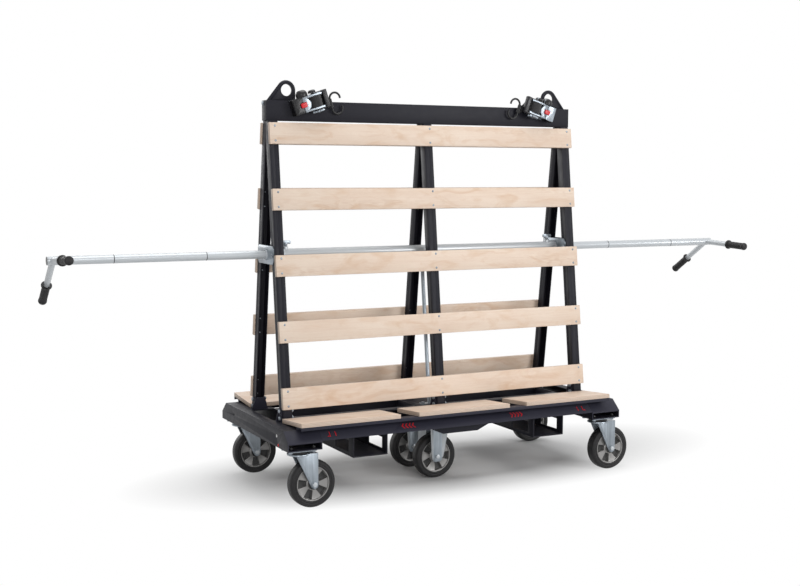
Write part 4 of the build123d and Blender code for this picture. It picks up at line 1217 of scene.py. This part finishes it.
class TROLLEY_OT_forks(bpy.types.Operator):
    """Add the pressed forks of the swivel castors and of the fixed wheels"""

    bl_idname = "trolley.forks"
    bl_label = "Forks"

    def execute(self, context):
        ready = finishes()
        zinc = ready["zinc_plate"]
        plate("cheek", cheek_line, cheek_rounding)
        for start, way, push in creases:
            crease(start, way, push)
        cheek = rounded(thickened(leave(), cheek_sheet), cheek_edge)
        settle(cheek, Matrix.Translation((0, -fork_middle, 0)))
        parts = [cheek, copy_of(cheek, "cheek", Matrix.Scale(-1, 4, (0, 1, 0)))]
        parts.append(settle(block("head", head_size, head_edge), Matrix.Translation(head_place)))
        parts.append(lathe("crown", crown_line, axis=(0, 0, 1), steps=crown_steps, closed=True))
        for side in (-1, 1):
            start, out = (castor_trail, side * washer_start, axle_height), (0, side, 0)
            parts.append(lathe("washer", washer_line, start, out, washer_steps, closed=True))
        fork = joined("fork", parts)
        for name, (x, y) in corner_pivots.items():
            made = copy_of(fork, f"{name}_fork_pressing", Matrix.Translation((x, y, 0)))
            hand_over(made, f"{name}_swivel", "zinc_steel", zinc, f"{name}_fork", smooth=30)
        thrown_away(fork)
        made = soften("mid_forks", mid_fork_edge, segments=4)
        # Painted light: the side flanges get the brighter tube plating where they catch the light,
        # and the face keeps the plain zinc.
        paint_faces(made, zinc, (ready["tube_zinc"], lambda place: abs(place.x) > lit_flange_start))
        hand_over(made, "chassis", "zinc_steel", zinc, "mid_forks", smooth=30)
        return {"FINISHED"}


# Radius and height of the grip's outside, its ribs and its hollow.
rib_line = ((0.0156, 0.0), (0.0165, 0.0012), (0.0165, 0.0042), (0.0156, 0.0054))
rib_count = 15
first_rib = 0.0100
rib_pitch = 0.0062
grip_line = [
    (0.0126, 0.0), (0.0205, 0.0), (0.0218, 0.0012), (0.0220, 0.0050), (0.0208, 0.0074),
    (0.0170, 0.0088),
    *((r, first_rib + rib_pitch * rib + up) for rib in range(rib_count) for r, up in rib_line),
    (0.0166, 0.1058), (0.0177, 0.1074), (0.0178, 0.1140), (0.0168, 0.1175), (0.0140, 0.1194),
    (0.0, 0.1200), (0.0, 0.1130), (0.0126, 0.1130),
]
grip_steps = 40
ring_line = ((0.0173, -0.0015), (0.0178, -0.0015), (0.0178, 0.0015), (0.0173, 0.0015))
ring_places = (1.022, 1.408)


class TROLLEY_OT_grips(bpy.types.Operator):
    """Add the ribbed grips and the bands on the handle tubes"""

    bl_idname = "trolley.grips"
    bl_label = "Grips"

    def execute(self, context):
        ready = finishes()
        grip = lathe("grip", grip_line, axis=(0, 0, 1), steps=grip_steps, closed=True)
        ring = lathe("ring", ring_line, axis=(1, 0, 0), closed=True)
        for name, side in sides.items():
            body = f"{name}_handle_bar"
            joint = Vector((side * arm_joint, 0, handle_height))
            pair = []
            for turn in arm_turns[name]:
                way = Vector((0, cos(radians(turn)), sin(radians(turn))))
                start = Matrix.Translation(joint + way * (arm_length - grip_length))
                turned = way.to_track_quat("Z", "X").to_matrix().to_4x4()
                pair.append(copy_of(grip, "grip", start @ turned))
            made = joined(f"{name}_grips_ribbed", pair)
            hand_over(made, body, "grip_rubber", ready["grip_rubber"], f"{name}_grips", smooth=40)
            places = [Matrix.Translation((side * x, 0, handle_height)) for x in ring_places]
            made = joined(f"{name}_tube_bands", [copy_of(ring, "ring", place) for place in places])
            hand_over(made, body, "black_plastic", ready["black_coating"])
            dress(f"{name}_stop_ring", ready["black_plastic"])
        thrown_away(grip, ring)
        return {"FINISHED"}


def strap_frame(side):
    """Matrix of a strap unit: X along the unit, Y across it, Z outwards from the beam."""
    along = Vector((cos(strap_tilt), 0, sin(strap_tilt)))
    across = Vector((-sin(strap_tilt), 0, cos(strap_tilt)))
    matrix = Matrix((along, across, Vector((0, -1, 0)))).transposed().to_4x4()
    left = Matrix.Translation(strap_origin) @ matrix
    return left if side < 0 else Matrix.Scale(-1, 4, (1, 0, 0)) @ left


# The webbing in its strap unit: along the unit, and out from the beam.
spool = (0.030, 0.034)
band_pitch = 0.0034
band_half_width = 0.024
band_columns = 8
first_turn = 0.010
half_turns = 10
turn_steps = 18
ripple_height = 0.00035
ripple_count = 9
tail_places = (0.030, 0.040, 0.050, 0.060, 0.066, 0.072, 0.078, 0.084, 0.090, 0.096)
tail_start, tail_end = 0.066, 0.092
eye_place = (0.102, 0.0134)
eye_radius = 0.0064
eye_wrap = radians(290)
eye_steps = 18
eye_shift = -0.028
eye_half_width = 0.018
tail_height = eye_place[1] - eye_radius
lap_line = ((0.0930, 0.0029), (0.0900, 0.0025), (0.0850, 0.0024))
stitch_size = (0.0030, 0.0009, 0.0007)
stitch_edge = 0.0003
stitch_rows, stitches_in_row = 3, 9
first_row = 0.0858
row_pitch = 0.0026
stitch_pitch = 0.0036
stitch_rise = 0.0036


def on_circle(centre, radius, angle):
    """A point of a circle."""
    return (centre[0] + radius * cos(angle), centre[1] + radius * sin(angle))


def band_route():
    """Middle line of the webbing: half turns on the spindle, the tail and the sewn eye."""
    points = []
    for index in range(half_turns):
        rising = index % 2 == 0
        height = spool[1] if rising else spool[1] - band_pitch / 2
        radius = first_turn + index * band_pitch / 2
        for step in range(turn_steps):
            angle = (-pi / 2 if rising else pi / 2) + pi * step / turn_steps
            ripple = ripple_height * cos(ripple_count * angle) ** 3
            reach = radius + ripple if index >= half_turns - 2 else radius
            points.append(on_circle((spool[0], height), reach, angle))
    points += [(x, tail_height) for x in tail_places]
    for step in range(eye_steps + 1):
        points.append(on_circle(eye_place, eye_radius, -pi / 2 + eye_wrap * step / eye_steps))
    return points + [(x, tail_height + rise) for x, rise in lap_line]


def webbing_band(thickness):
    """The wound band, which keeps its own coordinates and narrows towards the eye."""
    route = band_route()
    draw("band", [(x, -band_half_width, z) for x, z in route])
    band = leave()
    place = band.data.attributes.new("band_place", "FLOAT_VECTOR", "POINT")
    length = 0.0
    for index, (x, z) in enumerate(route):
        if index:
            length += hypot(x - route[index - 1][0], z - route[index - 1][1])
        place.data[index].vector = (length, -band_half_width, 0)
    edit("EDGE")
    for _ in range(band_columns):
        width = 2 * band_half_width / band_columns
        bpy.ops.mesh.extrude_edges_move(TRANSFORM_OT_translate={"value": (0, width, 0)})
    close_up()
    band = leave()
    place = band.data.attributes["band_place"]
    for index, vertex in enumerate(band.data.vertices):
        place.data[index].vector = (place.data[index].vector[0], vertex.co.y, 0)
        way = min(1.0, max(0.0, (vertex.co.x - tail_start) / (tail_end - tail_start)))
        way = way * way * (3 - 2 * way)
        narrow = eye_shift + vertex.co.y * eye_half_width / band_half_width
        vertex.co.y += (narrow - vertex.co.y) * way
    return thickened(band, thickness)


class TROLLEY_OT_webbing(bpy.types.Operator):
    """Add the wound webbing with its tail and sewn eye"""

    bl_idname = "trolley.webbing"
    bl_label = "Webbing"

    def execute(self, context):
        pieces = [webbing_band(context.scene.trolley_sizes.band)]
        for row, step in product(range(stitch_rows), range(stitches_in_row)):
            stitch = block("stitch", stitch_size, stitch_edge, segments=1)
            across = eye_shift + (step - stitches_in_row // 2) * stitch_pitch
            spot = (first_row + row_pitch * row, across, tail_height + stitch_rise)
            pieces.append(settle(stitch, Matrix.Translation(spot)))
        unit = joined("unit", pieces)
        pair = [copy_of(unit, "unit", strap_frame(side)) for side in sides.values()]
        thrown_away(unit)
        made = joined("strap_webbing_band", pair)
        hand_over(made, "chassis", "webbing", finishes()["woven_strap"], "strap_webbing")
        return {"FINISHED"}


cover_edge = 0.0015
cover_front = 0.0435
cover_skin = 0.001
strap_frame_edge = 0.0008
lever_edge = 0.0016
button_edge = 0.0018
rivet_line = ((0.0, 0.0032), (0.0022, 0.0029), (0.0040, 0.0018), (0.0050, 0.0), (0.0, -0.0005))
rivet_steps = 24
rivet_spots = ((-0.004, -0.0284, 0.046), (-0.004, 0.0284, 0.046))
end_size = (0.0022, 0.066, 0.038)
end_edge = 0.0006
end_spot = (-0.0771, 0, 0.0230)


class TROLLEY_OT_strap_units(bpy.types.Operator):
    """Round the strap units' steel and plastic parts and add their end plates and rivets"""

    bl_idname = "trolley.strap_units"
    bl_label = "Strap units"

    def execute(self, context):
        ready = finishes()
        zinc, black = ready["zinc_plate"], ready["black_plastic"]
        covers = soften("strap_covers", cover_edge)
        cover_face_y = strap_origin.y - cover_front
        # Only the right unit's cover front gets the zinc finish; the left one stays black.
        paint_faces(
            covers, black, (zinc, lambda place: place.x > 0 and cover_face_y - cover_skin < place.y < cover_face_y)
        )
        stand_for("strap_covers", covers, black)
        stand_for("strap_frames", soften("strap_frames", strap_frame_edge), zinc)
        for name in sides:
            lever, button = f"{name}_strap_lever", f"{name}_strap_button"
            stand_for(lever, soften(lever, lever_edge, segments=3), ready["black_lever"])
            stand_for(button, soften(button, button_edge, segments=3), ready["red_plastic"])
            dress(f"{name}_strap_hook", ready["black_coating"])
        rivet = lathe("rivet", rivet_line, axis=(0, 0, 1), steps=rivet_steps)
        rivets, ends = [], []
        for side in sides.values():
            unit = strap_frame(side)
            end = block("end", end_size, end_edge)
            ends.append(settle(end, unit @ Matrix.Translation(end_spot)))
            for spot in rivet_spots:
                rivets.append(copy_of(rivet, "rivet", unit @ Matrix.Translation(spot)))
        thrown_away(rivet)
        hand_over(turned_round(joined("strap_rivets", rivets)), "chassis", "zinc_steel", zinc)
        hand_over(turned_round(joined("strap_end_plates", ends)), "chassis", "black_plastic", black)
        return {"FINISHED"}


class TROLLEY_PT_pieces(bpy.types.Panel):
    """Shows the trolley's settings and the buttons that add its pieces"""

    bl_idname = "TROLLEY_PT_pieces"
    bl_label = "Trolley"
    bl_space_type = "VIEW_3D"
    bl_region_type = "UI"
    bl_category = "Trolley"

    def draw(self, context):
        for name in groups:
            group = getattr(context.scene, name)
            column = self.layout.column()
            for key in group.bl_rna.properties.keys():
                if key not in ("rna_type", "name"):
                    column.prop(group, key)
        for operator in operators:
            self.layout.operator(operator.bl_idname)


operators = (
    TROLLEY_OT_stage,
    TROLLEY_OT_frame_steel,
    TROLLEY_OT_rail_marks,
    TROLLEY_OT_small_marks,
    TROLLEY_OT_zinc_parts,
    TROLLEY_OT_deck,
    TROLLEY_OT_slats,
    TROLLEY_OT_slat_screws,
    TROLLEY_OT_wheels,
    TROLLEY_OT_forks,
    TROLLEY_OT_grips,
    TROLLEY_OT_webbing,
    TROLLEY_OT_strap_units,
)
groups = {
    "trolley_finishes": TrolleyFinishes,
    "trolley_sizes": TrolleySizes,
    "trolley_stage": TrolleyStage,
}


def register():
    """Register the groups, operators and panel."""
    for name, group in groups.items():
        bpy.utils.register_class(group)
        setattr(bpy.types.Scene, name, bpy.props.PointerProperty(type=group))
    for item in operators + (TROLLEY_PT_pieces,):
        bpy.utils.register_class(item)


def unregister():
    """Take the panel, operators and groups away again."""
    for item in (TROLLEY_PT_pieces,) + operators[::-1]:
        bpy.utils.unregister_class(item)
    for name, group in groups.items():
        delattr(bpy.types.Scene, name)
        bpy.utils.unregister_class(group)


def main():
    """Make the whole trolley."""
    register()
    bpy.ops.trolley.stage()
    bpy.ops.trolley.frame_steel()
    bpy.ops.trolley.rail_marks()
    bpy.ops.trolley.small_marks()
    bpy.ops.trolley.zinc_parts()
    bpy.ops.trolley.deck()
    bpy.ops.trolley.slats()
    bpy.ops.trolley.slat_screws()
    bpy.ops.trolley.wheels()
    bpy.ops.trolley.forks()
    bpy.ops.trolley.grips()
    bpy.ops.trolley.webbing()
    bpy.ops.trolley.strap_units()
    deselect()
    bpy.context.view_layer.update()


if __name__ == "__main__":
    main()
